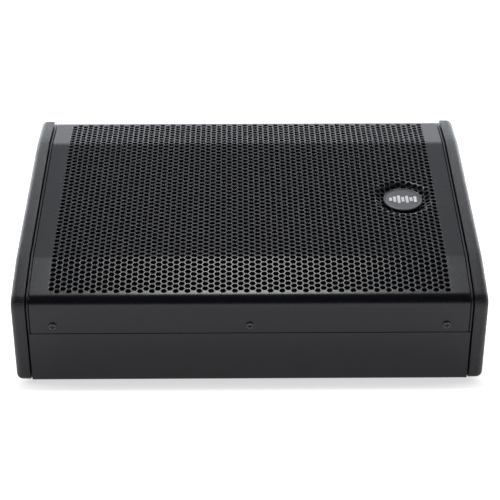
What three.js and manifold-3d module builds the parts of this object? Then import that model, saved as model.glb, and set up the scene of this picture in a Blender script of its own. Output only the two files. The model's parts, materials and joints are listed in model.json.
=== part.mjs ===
// Low-profile stage monitor wedge: a plywood cabinet under a folded, perforated steel grille,
// closed at both sides by moulded end caps, with a 12-inch coaxial driver and a rear amplifier panel.
// Millimetres, +Z up, X across the front, +Y to the rear. The origin is the centre of the footprint,
// on the surface that the feet stand on.
import * as THREE from "three";
import { mergeVertices } from "three/addons/utils/BufferGeometryUtils.js";
import Module from "manifold-3d";

const wasm = await Module();
wasm.setup();

// ---------------------------------------------------------------- driving dimensions
const GAP = 0.3; // left between pieces that touch

// Side profile: a leaning front lip, three sloping facets, a rear slope and an upright back.
const LIP = { length: 99, lean: 28.1 };
const SLOPES = [
  { length: 66, angle: 38.7 },
  { length: 225, angle: 30 },
  { length: 63, angle: 21.8 },
];
const DEPTH = 405; // from the virtual lip corner to the upright back
const REAR_SLOPE = 40; // degrees below horizontal
const CORNER = { front: 11, top: 7, back: 8, foot: 4 };

const CABINET_WIDTH = 455;
const PLY = 15;
const STRIP = 1.6; // plywood edge left standing beside the grille
const FRONT_PANEL_TOP = 12; // down the lip from the virtual corner

const REBATE = { depth: 1.8, side: 1.1, end: 0.9, groove: 5 };
const SHEET = {
  thickness: 1.5,
  halfWidth: CABINET_WIDTH / 2 - STRIP - REBATE.side,
  flangeEnd: 39,
  rearFlange: 18,
};
const FOAM = { thickness: 5, halfWidth: 206, start: 8, end: 4 };
const DISH = { x: 170, along: 110, radius: 33, depth: 4.5, floor: 23.5, land: 1 };
const BADGE = { radius: 21.5, thickness: 2.6, stem: 1.6 };
const GRILLE_SCREW = {
  x: [-202, 0, 202],
  down: 29.7,
  head: 4,
  rise: 1.6,
  shank: 1.9,
  length: 12,
};

const CAP = { thickness: 14.7, proud: 3, base: 1.4, edge: 6.8 };
const SPACER = { thickness: 1.4, inset: 5 };
const CAP_SCREW = { head: 5.5, sink: 4, shank: 3, length: 24, below: 1.5, socket: 2.5, web: 0.8 };
const CAP_SCREWS = [
  [62, 0],
  [300, 118],
  [370, -55],
];

const HANDLE = {
  y: 205,
  z: -20,
  width: 126,
  height: 42,
  curl: 24,
  cupDepth: 38,
  wall: 3,
  flange: 9,
};

const FOOT = { radius: 17, height: 3, x: 190, front: 62, rear: 40, dimple: 6 };

const BAFFLE = { depth: 27, driverHole: 142, portHole: 28.4 };
const PORT = { inner: 25, outer: 28, flange: 31.5, length: 83, x: 176, along: 128 };
const BACK_RECESS = 24; // the back panel stands this far inside the cabinet's rear edges

const AMP = { width: 330, height: 132, thickness: 3, z: -4, opening: { width: 298, height: 112 } };
const TUB = { width: 288, height: 106, depth: 60, wall: 1.5 };
const HEAT_SINK = { low: 16, high: 152, halfHeight: 48, base: 4, fins: 22, fin: 2.6, height: 14 };

// ---------------------------------------------------------------- solids
const radians = THREE.MathUtils.degToRad;

function toSolid(geometry) {
  const plain = geometry.clone();
  plain.deleteAttribute("normal");
  plain.deleteAttribute("uv");
  const merged = mergeVertices(plain, 1e-4);
  const build = (triVerts) =>
    new wasm.Manifold(
      new wasm.Mesh({ numProp: 3, vertProperties: merged.attributes.position.array, triVerts }),
    );
  const order = new Uint32Array(merged.index.array);
  const solid = build(order);
  return solid.volume() > 0 ? solid : build(order.reverse());
}

function toGeometry(solid) {
  const mesh = solid.getMesh();
  const geometry = new THREE.BufferGeometry();
  geometry.setAttribute("position", new THREE.BufferAttribute(mesh.vertProperties, 3));
  geometry.setIndex(new THREE.BufferAttribute(mesh.triVerts, 1));
  geometry.computeVertexNormals();
  return geometry;
}

const join = (...solids) => solids.reduce((all, one) => all.add(one));
const cut = (solid, ...tools) => tools.reduce((left, tool) => left.subtract(tool), solid);

// A box given by its lowest and highest corners.
function block(low, high) {
  const size = high.map((value, i) => value - low[i]);
  const geometry = new THREE.BoxGeometry(...size);
  geometry.translate(...low.map((value, i) => value + size[i] / 2));
  return toSolid(geometry);
}

// A side-view outline of [y, z] points, extruded across the cabinet from one X to another.
function prism(points, fromX, toX, bevel = null) {
  const shape = new THREE.Shape(points.map(([y, z]) => new THREE.Vector2(y, z)));
  const geometry = new THREE.ExtrudeGeometry(shape, {
    depth: toX - fromX,
    bevelEnabled: bevel !== null,
    ...bevel,
  });
  const toSideView = new THREE.Matrix4().makeBasis(
    new THREE.Vector3(0, 1, 0),
    new THREE.Vector3(0, 0, 1),
    new THREE.Vector3(1, 0, 0),
  );
  geometry.applyMatrix4(toSideView);
  geometry.translate(fromX, 0, 0);
  return toSolid(geometry);
}

// A profile of [radius, height] points turned about Z, closed on itself where it is off the axis.
function turned(profile, segments = 24) {
  const outline = profile[0][0] > 0 ? [...profile, profile[0]] : profile;
  const points = outline.map(([radius, height]) => new THREE.Vector2(radius, height));
  const geometry = new THREE.LatheGeometry(points, segments);
  geometry.rotateX(Math.PI / 2);
  return toSolid(geometry);
}

const rod = (radius, low, high, segments = 16) =>
  turned([[0, low], [radius, low], [radius, high], [0, high]], segments);

const ring = (inner, outer, low, high, segments = 24) =>
  turned([[inner, low], [outer, low], [outer, high], [inner, high]], segments);

// Turns a solid made about Z so that it points along +Y, or to either side.
const alongY = (solid) => solid.rotate([-90, 0, 0]);
const alongX = (solid, side) => solid.rotate([0, side * 90, 0]);

// ---------------------------------------------------------------- side profile
const unit = (from, to) => {
  const length = Math.hypot(to[0] - from[0], to[1] - from[1]);
  return [(to[0] - from[0]) / length, (to[1] - from[1]) / length];
};
const along = (point, direction, distance) => [
  point[0] + direction[0] * distance,
  point[1] + direction[1] * distance,
];
const inward = ([y, z]) => [z, -y];

// Where two lines cross, each given by a point and a direction.
function meet(a, b) {
  const cross = a.direction[0] * b.direction[1] - a.direction[1] * b.direction[0];
  const dy = b.point[0] - a.point[0];
  const dz = b.point[1] - a.point[1];
  return along(a.point, a.direction, (dy * b.direction[1] - dz * b.direction[0]) / cross);
}

const LIP_DIRECTION = [Math.sin(radians(LIP.lean)), -Math.cos(radians(LIP.lean))];
const LIP_INWARD = [Math.cos(radians(LIP.lean)), Math.sin(radians(LIP.lean))];

// Vertices clockwise from the lip's lower edge, and the radius at each.
function sideVertices() {
  const corner = [0, 0];
  const vertices = [along(corner, LIP_DIRECTION, LIP.length), corner];
  for (const { length, angle } of SLOPES) {
    const direction = [Math.cos(radians(angle)), Math.sin(radians(angle))];
    vertices.push(along(vertices.at(-1), direction, length));
  }
  const top = vertices.at(-1);
  vertices.push([DEPTH, top[1] - (DEPTH - top[0]) * Math.tan(radians(REAR_SLOPE))]);
  vertices.push([DEPTH, vertices[0][1]]);
  return vertices;
}

const SIDE = sideVertices();
const BASE_Z = SIDE[0][1];
const TOP = SIDE[4];
const REAR_DIRECTION = unit(SIDE[4], SIDE[5]);
const EDGES = SIDE.length;

// Moves each edge of a closed outline inwards by its own distance.
function inset(vertices, distances) {
  const count = vertices.length;
  const lines = vertices.map((point, i) => {
    const direction = unit(point, vertices[(i + 1) % count]);
    return { point: along(point, inward(direction), distances[i]), direction };
  });
  return lines.map((line, i) => meet(lines[(i + count - 1) % count], line));
}

// Replaces the corner at one vertex by an arc.
function arcAt(before, vertex, after, radius, steps) {
  const back = unit(vertex, before);
  const ahead = unit(vertex, after);
  const half = Math.acos(back[0] * ahead[0] + back[1] * ahead[1]) / 2;
  const bisector = unit([0, 0], [back[0] + ahead[0], back[1] + ahead[1]]);
  const centre = along(vertex, bisector, radius / Math.sin(half));
  const start = along(vertex, back, radius / Math.tan(half));
  const end = along(vertex, ahead, radius / Math.tan(half));
  const from = Math.atan2(start[1] - centre[1], start[0] - centre[0]);
  let sweep = Math.atan2(end[1] - centre[1], end[0] - centre[0]) - from;
  sweep -= 2 * Math.PI * Math.round(sweep / (2 * Math.PI));
  return Array.from({ length: steps + 1 }, (_, i) => {
    const angle = from + (sweep * i) / steps;
    return [centre[0] + radius * Math.cos(angle), centre[1] + radius * Math.sin(angle)];
  });
}

function rounded(vertices, radii, steps = 5) {
  const count = vertices.length;
  return vertices.flatMap((vertex, i) =>
    radii[i] > 0
      ? arcAt(vertices[(i + count - 1) % count], vertex, vertices[(i + 1) % count], radii[i], steps)
      : [vertex],
  );
}

const CABINET_RADII = [CORNER.foot, CORNER.front, 0, 0, CORNER.top, CORNER.back, CORNER.foot];
const cabinetOutline = () => rounded(SIDE, CABINET_RADII);

// The run of the grille at a given depth below its outer face: up the lip, over the three facets
// and round the top, from one distance before the lip corner to another past the top.
function grilleRun(depth, lipStart, rearEnd) {
  const vertices = inset(SIDE, Array(EDGES).fill(depth));
  const first = along(along([0, 0], LIP_DIRECTION, lipStart), LIP_INWARD, depth);
  const last = along(along(TOP, REAR_DIRECTION, rearEnd), inward(REAR_DIRECTION), depth);
  const corners = [first, ...vertices.slice(1, 5), last];
  const radii = [0, CORNER.front - depth, 0, 0, CORNER.top - depth, 0];
  return rounded(corners, radii);
}

const strip = (outerDepth, innerDepth, lipStart, rearEnd, fromX, toX) =>
  prism(
    [...grilleRun(outerDepth, lipStart, rearEnd), ...grilleRun(innerDepth, lipStart, rearEnd).reverse()],
    fromX,
    toX,
  );
const band = (outerDepth, innerDepth, lipStart, rearEnd, halfWidth) =>
  strip(outerDepth, innerDepth, lipStart, rearEnd, -halfWidth, halfWidth);

// The middle facet carries the driver: its frame starts at the lower bend, Y up the slope, Z out.
const MIDDLE = SLOPES[1];
const BEND = SIDE[2];
function onMiddleFacet(solid, x, alongSlope, height) {
  const direction = [Math.cos(radians(MIDDLE.angle)), Math.sin(radians(MIDDLE.angle))];
  const out = [-direction[1], direction[0]];
  const place = along(along(BEND, direction, alongSlope), out, height);
  return solid.rotate([MIDDLE.angle, 0, 0]).translate([x, place[0], place[1]]);
}

// ---------------------------------------------------------------- finishes
const FINISH = {
  cabinetPaint: { color: 0x2b2b2e, roughness: 0.75, metalness: 0 },
  capPlastic: { color: 0x303033, roughness: 0.7, metalness: 0 },
  grillePaint: { color: 0x2a2a2c, roughness: 0.4, metalness: 0.3 },
  foam: { color: 0x0b0b0c, roughness: 1, metalness: 0 },
  blackSteel: { color: 0x101011, roughness: 0.35, metalness: 0.8 },
  badge: { color: 0x5a5a5f, roughness: 0.3, metalness: 0.9 },
  rubber: { color: 0x141414, roughness: 0.9, metalness: 0 },
  plastic: { color: 0x19191b, roughness: 0.55, metalness: 0 },
  castMetal: { color: 0x2c2d30, roughness: 0.6, metalness: 0.7 },
  bareSteel: { color: 0x8b8d90, roughness: 0.35, metalness: 0.9 },
  aluminium: { color: 0x9da0a4, roughness: 0.4, metalness: 0.9 },
  paper: { color: 0x17171a, roughness: 0.9, metalness: 0 },
  cloth: { color: 0x3a2b1a, roughness: 0.95, metalness: 0 },
  copper: { color: 0xa5623a, roughness: 0.35, metalness: 0.9 },
  circuitBoard: { color: 0x164a2c, roughness: 0.6, metalness: 0 },
  greenLens: { color: 0x3fae5a, roughness: 0.2, metalness: 0 },
};

const model = new THREE.Group();

function add(name, solid, finish, parent = model) {
  const mesh = new THREE.Mesh(toGeometry(solid), new THREE.MeshStandardMaterial(FINISH[finish]));
  mesh.name = name;
  parent.add(mesh);
}

const SIDES = [
  { name: "left", sign: -1 },
  { name: "right", sign: 1 },
];
// Orders two X values on one side of the cabinet.
const spanX = (sign, near, far) => (sign > 0 ? [near, far] : [-far, -near]);

// ---------------------------------------------------------------- cabinet
const OUTER_X = CABINET_WIDTH / 2;
const INNER_X = OUTER_X - PLY;
const CROSS_X = INNER_X - GAP;

// Where the grille and its foam lie: cut from the panels that it covers.
const grilleSeat = () =>
  band(-2, REBATE.depth, SHEET.flangeEnd + GAP, SHEET.rearFlange + GAP, SHEET.halfWidth + REBATE.side);

// A deeper groove beside the sheet, which reads as a dark line.
const grilleGroove = (sign) => {
  const near = SHEET.halfWidth;
  const span = spanX(sign, near, near + REBATE.side);
  return strip(0, REBATE.groove, SHEET.flangeEnd + GAP, SHEET.rearFlange + GAP, ...span);
};

const grilleScrewHoles = (radius) =>
  join(...GRILLE_SCREW.x.map((x) => atLip(rod(radius, -GRILLE_SCREW.length - 1, 4, 12), x)));

// Stands a solid made about Z on the lip's face, pointing out.
function atLip(solid, x) {
  const [y, z] = along([0, 0], LIP_DIRECTION, GRILLE_SCREW.down);
  return solid.rotate([90 + LIP.lean, 0, 0]).translate([x, y, z]);
}

function windowOutline(width, height, centreZ) {
  const radius = height / 2;
  const reach = width / 2 - radius;
  const steps = 6;
  const end = (side) =>
    Array.from({ length: steps + 1 }, (_, i) => {
      const angle = side * (-Math.PI / 2) + side * (Math.PI * i) / steps;
      const y = HANDLE.y + side * (reach + radius * Math.cos(angle));
      return [y, centreZ + radius * Math.sin(angle)];
    });
  return [...end(1), ...end(-1)];
}

const handleWindow = (sign, spare = 0) =>
  prism(
    windowOutline(HANDLE.width + 2 * spare, HANDLE.height + 2 * spare, HANDLE.z),
    ...spanX(sign, INNER_X - 1, OUTER_X + SPACER.thickness + CAP.thickness + 1),
  );

function capScrewHoles(sign, radius) {
  const hole = alongX(rod(radius, INNER_X - 1, OUTER_X + 20, 10), sign);
  return join(...CAP_SCREWS.map(([y, z]) => hole.translate([0, y, z])));
}

// The lower front panel covers the side panels' front edges below the grille's flange.
const lipPoint = (down, depth) => along(along([0, 0], LIP_DIRECTION, down), LIP_INWARD, depth);
const FLOOR = { point: [0, BASE_Z], direction: [1, 0] };
const lipAtFloor = (depth) => meet({ point: lipPoint(0, depth), direction: LIP_DIRECTION }, FLOOR);
const FRONT_INNER = { point: lipPoint(0, PLY + GAP), direction: LIP_DIRECTION };
const frontLap = () =>
  prism(
    [
      lipPoint(SHEET.flangeEnd, -2),
      lipPoint(SHEET.flangeEnd, PLY + GAP),
      lipPoint(LIP.length + 20, PLY + GAP),
      lipPoint(LIP.length + 20, -2),
    ],
    -OUTER_X - 1,
    OUTER_X + 1,
  );

for (const { name, sign } of SIDES) {
  const board = prism(cabinetOutline(), ...spanX(sign, INNER_X, OUTER_X));
  const screwHoles = capScrewHoles(sign, CAP_SCREW.shank + GAP);
  const seat = join(grilleSeat(), grilleGroove(sign));
  const panel = cut(board, seat, frontLap(), handleWindow(sign), screwHoles);
  add(`side_panel_${name}`, panel, "cabinetPaint");
}

function frontPanel() {
  const edge = SHEET.flangeEnd + REBATE.end;
  const outline = [lipPoint(edge, 0), lipPoint(edge, PLY), lipAtFloor(PLY), lipAtFloor(0)];
  const lower = prism(rounded(outline, [0, 0, 0, CORNER.foot]), -OUTER_X, OUTER_X);
  const upper = prism(
    [
      lipPoint(FRONT_PANEL_TOP, REBATE.depth),
      lipPoint(FRONT_PANEL_TOP, PLY),
      lipPoint(edge + 1, PLY),
      lipPoint(edge + 1, REBATE.depth),
    ],
    -CROSS_X,
    CROSS_X,
  );
  return cut(join(lower, upper), grilleScrewHoles(GRILLE_SCREW.shank + GAP));
}
add("front_panel", frontPanel(), "cabinetPaint");

const BOTTOM_TOP = BASE_Z + PLY;
function bottomPanel() {
  const top = { point: [0, BOTTOM_TOP], direction: [1, 0] };
  const outline = [lipAtFloor(PLY + GAP), meet(FRONT_INNER, top), [DEPTH, BOTTOM_TOP], [DEPTH, BASE_Z]];
  return prism(outline, -CROSS_X, CROSS_X);
}
add("bottom_panel", bottomPanel(), "cabinetPaint");

// The rear slope's panel starts behind the grille's rear flange and ends at the upright back.
const REAR_PANEL_START = 5;
function rearTopPanel() {
  const start = along(TOP, REAR_DIRECTION, REAR_PANEL_START);
  const into = inward(REAR_DIRECTION);
  const innerEnd = [DEPTH, SIDE[5][1] - PLY / Math.cos(radians(REAR_SLOPE))];
  const outline = [start, [DEPTH, SIDE[5][1]], innerEnd, along(start, into, PLY)];
  return cut(prism(rounded(outline, [0, CORNER.back, 0, 0]), -CROSS_X, CROSS_X), grilleSeat());
}
add("rear_top_panel", rearTopPanel(), "cabinetPaint");

const BACK_Y = DEPTH - BACK_RECESS;
function backPanel() {
  const innerRoof = (y) =>
    SIDE[5][1] + (DEPTH - y) * Math.tan(radians(REAR_SLOPE)) - (PLY + GAP) / Math.cos(radians(REAR_SLOPE));
  const board = prism(
    [
      [BACK_Y - PLY, BOTTOM_TOP + GAP],
      [BACK_Y - PLY, innerRoof(BACK_Y - PLY)],
      [BACK_Y, innerRoof(BACK_Y)],
      [BACK_Y, BOTTOM_TOP + GAP],
    ],
    -CROSS_X,
    CROSS_X,
  );
  const { width, height } = AMP.opening;
  return cut(
    board,
    block([-width / 2, BACK_Y - 2 * PLY, AMP.z - height / 2], [width / 2, BACK_Y + 1, AMP.z + height / 2]),
  );
}
add("rear_panel", backPanel(), "cabinetPaint");

// Baffle: parallel to the middle facet, from the front panel to the rear slope's panel.
const DIRECTION = [Math.cos(radians(MIDDLE.angle)), Math.sin(radians(MIDDLE.angle))];
const INTO = inward(DIRECTION);
const baffleLine = (depth) => ({ point: along(BEND, INTO, depth), direction: DIRECTION });
const REAR_INNER = { point: along(TOP, inward(REAR_DIRECTION), PLY + GAP), direction: REAR_DIRECTION };
const slopePosition = (point) => (point[0] - BEND[0]) * DIRECTION[0] + (point[1] - BEND[1]) * DIRECTION[1];
const BAFFLE_ENDS = [FRONT_INNER, REAR_INNER].map((line) =>
  slopePosition(meet(baffleLine(BAFFLE.depth), line)),
);
const DRIVER_ALONG = (BAFFLE_ENDS[0] + BAFFLE_ENDS[1]) / 2;
const onBaffle = (solid, x = 0, up = 0) => onMiddleFacet(solid, x, DRIVER_ALONG + up, -BAFFLE.depth);

function baffleBoard() {
  const top = baffleLine(BAFFLE.depth);
  const bottom = baffleLine(BAFFLE.depth + PLY);
  const outline = [
    meet(top, FRONT_INNER),
    meet(top, REAR_INNER),
    meet(bottom, REAR_INNER),
    meet(bottom, FRONT_INNER),
  ];
  const through = (radius, x, up) => onBaffle(rod(radius, -PLY - 5, 5, 28), x, up);
  return cut(
    prism(outline, -CROSS_X, CROSS_X),
    through(BAFFLE.driverHole, 0, 0),
    ...SIDES.map(({ sign }) => through(BAFFLE.portHole, sign * PORT.x, PORT.along)),
  );
}
add("baffle_board", baffleBoard(), "cabinetPaint");

for (const { name, sign } of SIDES) {
  const tube = join(
    ring(PORT.inner, PORT.outer, -PORT.length, 3, 16),
    ring(PORT.inner, PORT.flange, GAP, 3, 16),
  );
  add(`port_tube_${name}`, onBaffle(tube, sign * PORT.x, PORT.along), "plastic");
}

for (const row of [
  { name: "front", y: SIDE[0][0] + FOOT.front },
  { name: "rear", y: DEPTH - FOOT.rear },
]) {
  for (const { name, sign } of SIDES) {
    const { radius, height, dimple } = FOOT;
    const top = height - GAP;
    const pad = turned(
      [[0, 1], [dimple, 1], [dimple, 0], [radius - 1, 0], [radius, top], [0, top]],
      16,
    );
    add(`foot_${row.name}_${name}`, pad.translate([sign * FOOT.x, row.y, BASE_Z - height]), "rubber");
  }
}

// ---------------------------------------------------------------- grille, foam and badge
const dishPlace = (solid) => onMiddleFacet(solid, DISH.x, DISH.along, 0);

// The dished floor under the badge, with a narrow flat land that joins the sheet.
function dish() {
  const { radius, depth, floor, land } = DISH;
  const face = [[0, -depth], [floor, -depth], [radius, 0], [radius + land, 0]];
  const back = face.map(([r, height]) => [r, height - SHEET.thickness]).reverse();
  return turned([...face, ...back], 28);
}

function grilleSheet() {
  const sheet = band(0, SHEET.thickness, SHEET.flangeEnd, SHEET.rearFlange, SHEET.halfWidth);
  const screwHoles = grilleScrewHoles(GRILLE_SCREW.shank + GAP);
  const opened = cut(sheet, dishPlace(rod(DISH.radius, -20, 5, 28)), screwHoles);
  const stemHole = dishPlace(rod(BADGE.stem + GAP, -20, 5, 12));
  return cut(join(opened, dishPlace(dish())), stemHole);
}
add("grille", grilleSheet(), "grillePaint");

function foamLayer() {
  const outer = SHEET.thickness + GAP;
  const run = (depth) => {
    const points = inset(SIDE, Array(EDGES).fill(depth));
    const first = along(points[1], unit(points[1], points[2]), FOAM.start);
    const last = along(points[4], unit(points[4], points[3]), FOAM.end);
    return [first, points[2], points[3], last];
  };
  const outline = [...run(outer), ...run(outer + FOAM.thickness).reverse()];
  const layer = prism(outline, -FOAM.halfWidth, FOAM.halfWidth);
  return cut(layer, dishPlace(rod(DISH.radius + DISH.land + GAP, -30, 5, 28)));
}
add("grille_foam", foamLayer(), "foam");

function badgeDisc() {
  const { radius, thickness, stem } = BADGE;
  const floor = -DISH.depth + GAP;
  return turned(
    [
      [0, floor - 6],
      [stem, floor - 6],
      [stem, floor],
      [radius, floor],
      [radius, floor + thickness - 1],
      [radius - 1, floor + thickness],
      [radius - 3, floor + thickness],
      [radius - 3.6, floor + thickness - 0.6],
      [0, floor + thickness - 0.2],
    ],
    24,
  );
}
add("badge", dishPlace(badgeDisc()), "badge");

for (const [i, name] of ["left", "centre", "right"].entries()) {
  const { head, rise, shank, length } = GRILLE_SCREW;
  const screw = turned(
    [[0, -length], [shank, -length], [shank, GAP], [head, GAP], [head - 0.8, rise + GAP], [0, rise + GAP]],
    12,
  );
  add(`grille_screw_${name}`, atLip(screw, GRILLE_SCREW.x[i]), "blackSteel");
}

// ---------------------------------------------------------------- end caps
const CAP_X = OUTER_X + SPACER.thickness;
const CAP_OUT = CAP_X + CAP.thickness;

function capOutline(extra) {
  const proud = -CAP.proud + extra;
  const vertices = inset(SIDE, [...Array(EDGES - 1).fill(proud), CAP.base + extra]);
  const radii = CABINET_RADII.map((radius) => (radius > 0 ? radius + CAP.proud - extra : 0));
  return rounded(vertices, radii.map((radius) => Math.max(radius, 0)));
}

for (const { name, sign } of SIDES) {
  const { edge, thickness } = CAP;
  // Rounded on both faces, then trimmed square on the cabinet side.
  const full = prism(capOutline(edge), ...spanX(sign, CAP_X - edge, CAP_OUT - edge), {
    bevelThickness: edge,
    bevelSize: edge,
    bevelSegments: 2,
  });
  const trim = block([-CAP_X, -100, -200], [CAP_X, DEPTH + 100, 300]);
  const sinks = CAP_SCREWS.map(([y, z]) =>
    alongX(rod(CAP_SCREW.head + GAP, CAP_OUT - CAP_SCREW.sink, CAP_OUT + 1, 12), sign).translate([0, y, z]),
  );
  const holes = capScrewHoles(sign, CAP_SCREW.shank + GAP);
  add(`end_cap_${name}`, cut(full, trim, handleWindow(sign), holes, ...sinks), "capPlastic");

  const spacerShape = rounded(inset(SIDE, Array(EDGES).fill(SPACER.inset)), CABINET_RADII);
  const spacer = prism(spacerShape, ...spanX(sign, OUTER_X + GAP, CAP_X - GAP));
  add(`cap_spacer_${name}`, cut(spacer, handleWindow(sign), holes), "rubber");

  const seat = CAP_OUT - CAP_SCREW.sink + GAP;
  CAP_SCREWS.forEach(([y, z], i) => {
    const { head, shank, length, sink, below, socket: keyway, web } = CAP_SCREW;
    const crown = seat + sink - below;
    const screw = turned(
      [
        [0, seat - length],
        [shank, seat - length],
        [shank, seat],
        [head, seat],
        [head, crown],
        [keyway, crown],
        [keyway, seat + web],
        [0, seat + web],
      ],
      10,
    );
    add(`cap_screw_${name}_${i + 1}`, alongX(screw, sign).translate([0, y, z]), "blackSteel");
  });
}

// Handle cups: open moulded pockets fixed inside the side panels, with room for fingers to curl up
// behind the grip.
function handleCup(sign) {
  const { y, z, width, height, curl, cupDepth, wall, flange } = HANDLE;
  const outerFace = INNER_X - GAP;
  const box = (grow, near, far) => {
    const [low, high] = spanX(sign, near, far);
    return block(
      [low, y - width / 2 - grow, z - height / 2 - grow],
      [high, y + width / 2 + grow, z + height / 2 + curl + grow],
    );
  };
  const pocket = box(wall, outerFace - cupDepth, outerFace);
  const body = join(pocket, box(wall + flange, outerFace - wall, outerFace));
  return cut(body, box(0, outerFace - cupDepth + wall, outerFace + 1));
}
for (const { name, sign } of SIDES) add(`handle_cup_${name}`, handleCup(sign), "plastic");

// ---------------------------------------------------------------- coaxial driver
// Heights run from the baffle's front face, positive towards the grille.
const BASKET_WINDOWS = 6;
function basket() {
  const shell = turned(
    [
      [139, GAP],
      [155, GAP],
      [155, 5],
      [133, 5],
      [125, -2],
      [72, -68],
      [45, -71.5],
      [45, -75.5],
      [76, -75.5],
      [82, -70],
      [139, -8],
    ],
    30,
  );
  const windows = Array.from({ length: BASKET_WINDOWS }, (_, i) =>
    block([70, -22.3, -57], [150, 22.3, -15]).rotate([0, 0, (360 / BASKET_WINDOWS) * i]),
  );
  const terminal = block([-97, 31, -73.7], [-73, 45, -64.3]);
  return join(cut(shell, ...windows), terminal);
}

// A raised roll of thin rubber round the cone, with a flat rim outside it.
const ROLL = { centre: 124.5, upper: 6.7, lower: 6.1, squash: 0.9, rim: 141, low: 5.4, high: 6.4 };
function surround() {
  const steps = 4;
  const roll = (radius, height) =>
    Array.from({ length: steps + 1 }, (_, i) => {
      const angle = Math.PI * (1 - i / steps);
      return [ROLL.centre + radius * Math.cos(angle), height + ROLL.squash * radius * Math.sin(angle)];
    });
  const face = [...roll(ROLL.upper, ROLL.high), [ROLL.rim, ROLL.high]];
  const back = [...roll(ROLL.lower, ROLL.low), [ROLL.rim, ROLL.low]];
  return turned([...face, ...back.reverse()], 30);
}

const CONE = { rim: 117.4, neck: 38.6, depth: 43 };
const cone = () =>
  turned(
    [
      [CONE.rim, 7],
      [CONE.rim, 4],
      [CONE.rim - 2, 4],
      [CONE.neck + 1, 4 - CONE.depth],
      [CONE.neck, 4 - CONE.depth],
      [CONE.neck, 5.6 - CONE.depth],
      [CONE.rim - 2, 5.6],
      [CONE.rim - 2, 7],
    ],
    30,
  );

const voiceCoil = () =>
  turned([[37.6, -84], [39.2, -84], [39.2, -70], [38.3, -70], [38.3, -34], [37.6, -34]]);

function spider() {
  const waves = 2;
  const steps = waves * 4;
  const line = (lift) =>
    Array.from({ length: steps + 1 }, (_, i) => [
      38.8 + (74.5 - 38.8) * (i / steps),
      -62 + lift + 1.4 * Math.sin((2 * Math.PI * waves * i) / steps),
    ]);
  return turned([...line(0), ...line(0.8).reverse()]);
}

const topPlate = () => ring(40, 68, -84, -76);
const wooferMagnet = () => ring(44, 60, -104, -84.3);
const yoke = () =>
  turned(
    [[13, -111], [66, -111], [66, -104.3], [37, -104.3], [37, -76], [26, -74], [13, -90]],
  );
const horn = () =>
  turned(
    [
      [12.7, -89],
      [14, -88],
      [24.5, -73],
      [33, -70],
      [36, -28],
      [62, -14],
      [62, -12],
      [46, -19.5],
      [33, -27],
      [27, -46],
    ],
  );
const driverGasket = () => ring(134, 142.5, 6.8, 10, 30);

const hfHousing = () =>
  turned(
    [[13, -111.3], [13, -116], [22, -120], [22, -124], [44, -124], [44, -111.3]],
  );
const hfDiaphragm = () =>
  turned([
    [0, -117.5],
    [8, -118.2],
    [13, -119.4],
    [18, -121.6],
    [21, -124.8],
    [31.5, -124.8],
    [31.5, -125.3],
    [20.6, -125.3],
    [17.6, -122.2],
    [12.8, -120],
    [8, -118.8],
    [0, -118.1],
  ]);
const hfCover = () =>
  turned(
    [[0, -136], [38, -136], [44, -131], [44, -124.3], [32, -124.3], [32, -132.5], [0, -132.5]],
  );

for (const [name, solid, finish] of [
  ["driver_basket", basket(), "castMetal"],
  ["driver_surround", surround(), "rubber"],
  ["driver_cone", cone(), "paper"],
  ["voice_coil", voiceCoil(), "copper"],
  ["driver_spider", spider(), "cloth"],
  ["top_plate", topPlate(), "blackSteel"],
  ["woofer_magnet", wooferMagnet(), "bareSteel"],
  ["magnet_yoke", yoke(), "blackSteel"],
  ["hf_horn", horn(), "plastic"],
  ["driver_gasket", driverGasket(), "rubber"],
  ["hf_housing", hfHousing(), "blackSteel"],
  ["hf_diaphragm", hfDiaphragm(), "aluminium"],
  ["hf_cover", hfCover(), "plastic"],
])
  add(name, onBaffle(solid), finish);

// ---------------------------------------------------------------- amplifier
const PANEL_BACK = BACK_Y + GAP;
const PANEL_FACE = PANEL_BACK + AMP.thickness;

// Places of the fittings on the panel: X across, Z above the panel's centre.
const FITTING = {
  input: { x: -28, z: 30 },
  link: { x: -68, z: 30 },
  level: { x: -112, z: 34 },
  lineButton: { x: -20, z: -8 },
  filterButton: { x: -44, z: -8 },
  lights: { x: -92, z: 2 },
  mains: { x: -126, z: -34 },
  rocker: { x: -92, z: -36 },
};
const SOCKET = { width: 26, height: 31, rise: 2.4, barrel: 12.6, bore: 10.8, depth: 18, floor: 3 };
const KNOB = { radius: 9.5, rise: 1, height: 14, shaft: 3, inside: 8, pointer: 0.8 };
const BUTTON = { half: 3.5, height: 5, inside: 9 };
const ROCKER = { width: 12, height: 20, flange: 3, rise: 2.2, box: 1.5, depth: 14, pivotDepth: 3, tilt: 9 };
const LIGHTS = { halfWidth: 12, halfHeight: 2, pitch: 9, lens: 1.7 };
const OPENING_SPARE = 0.4; // round each fitting's opening in the panel
const LATCH = { width: 8, height: 3.6, above: 11.8, rise: 5, inside: 6 };

// Moves a solid made about the panel's face, with +Y outwards, to a fitting's place.
const onPanel = (solid, { x, z }) => solid.translate([x, PANEL_FACE, AMP.z + z]);
const latchHole = (spare) =>
  block(
    [-LATCH.width / 2 - spare, -LATCH.inside - 6, LATCH.above - spare],
    [LATCH.width / 2 + spare, 12, LATCH.above + LATCH.height + spare],
  );

function socket(inner, raised) {
  const { width, height, rise, barrel, bore, depth, floor } = SOCKET;
  const shell = join(
    block([-width / 2, GAP, -height / 2], [width / 2, rise + raised, height / 2]),
    alongY(rod(barrel, -depth, rise)),
  );
  const hollow = alongY(rod(bore, -depth + floor, rise + raised + 1));
  return inner ? join(cut(shell, hollow), inner) : cut(shell, hollow);
}

// Three contact pins on a circle, standing on the socket's floor.
function contactPins(radius, reach) {
  const pin = alongY(rod(1.2, -SOCKET.depth + 1, reach, 10));
  return join(...[90, 210, 330].map((angle) => {
    const turn = radians(angle);
    return pin.translate([radius * Math.cos(turn), 0, radius * Math.sin(turn)]);
  }));
}

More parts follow.
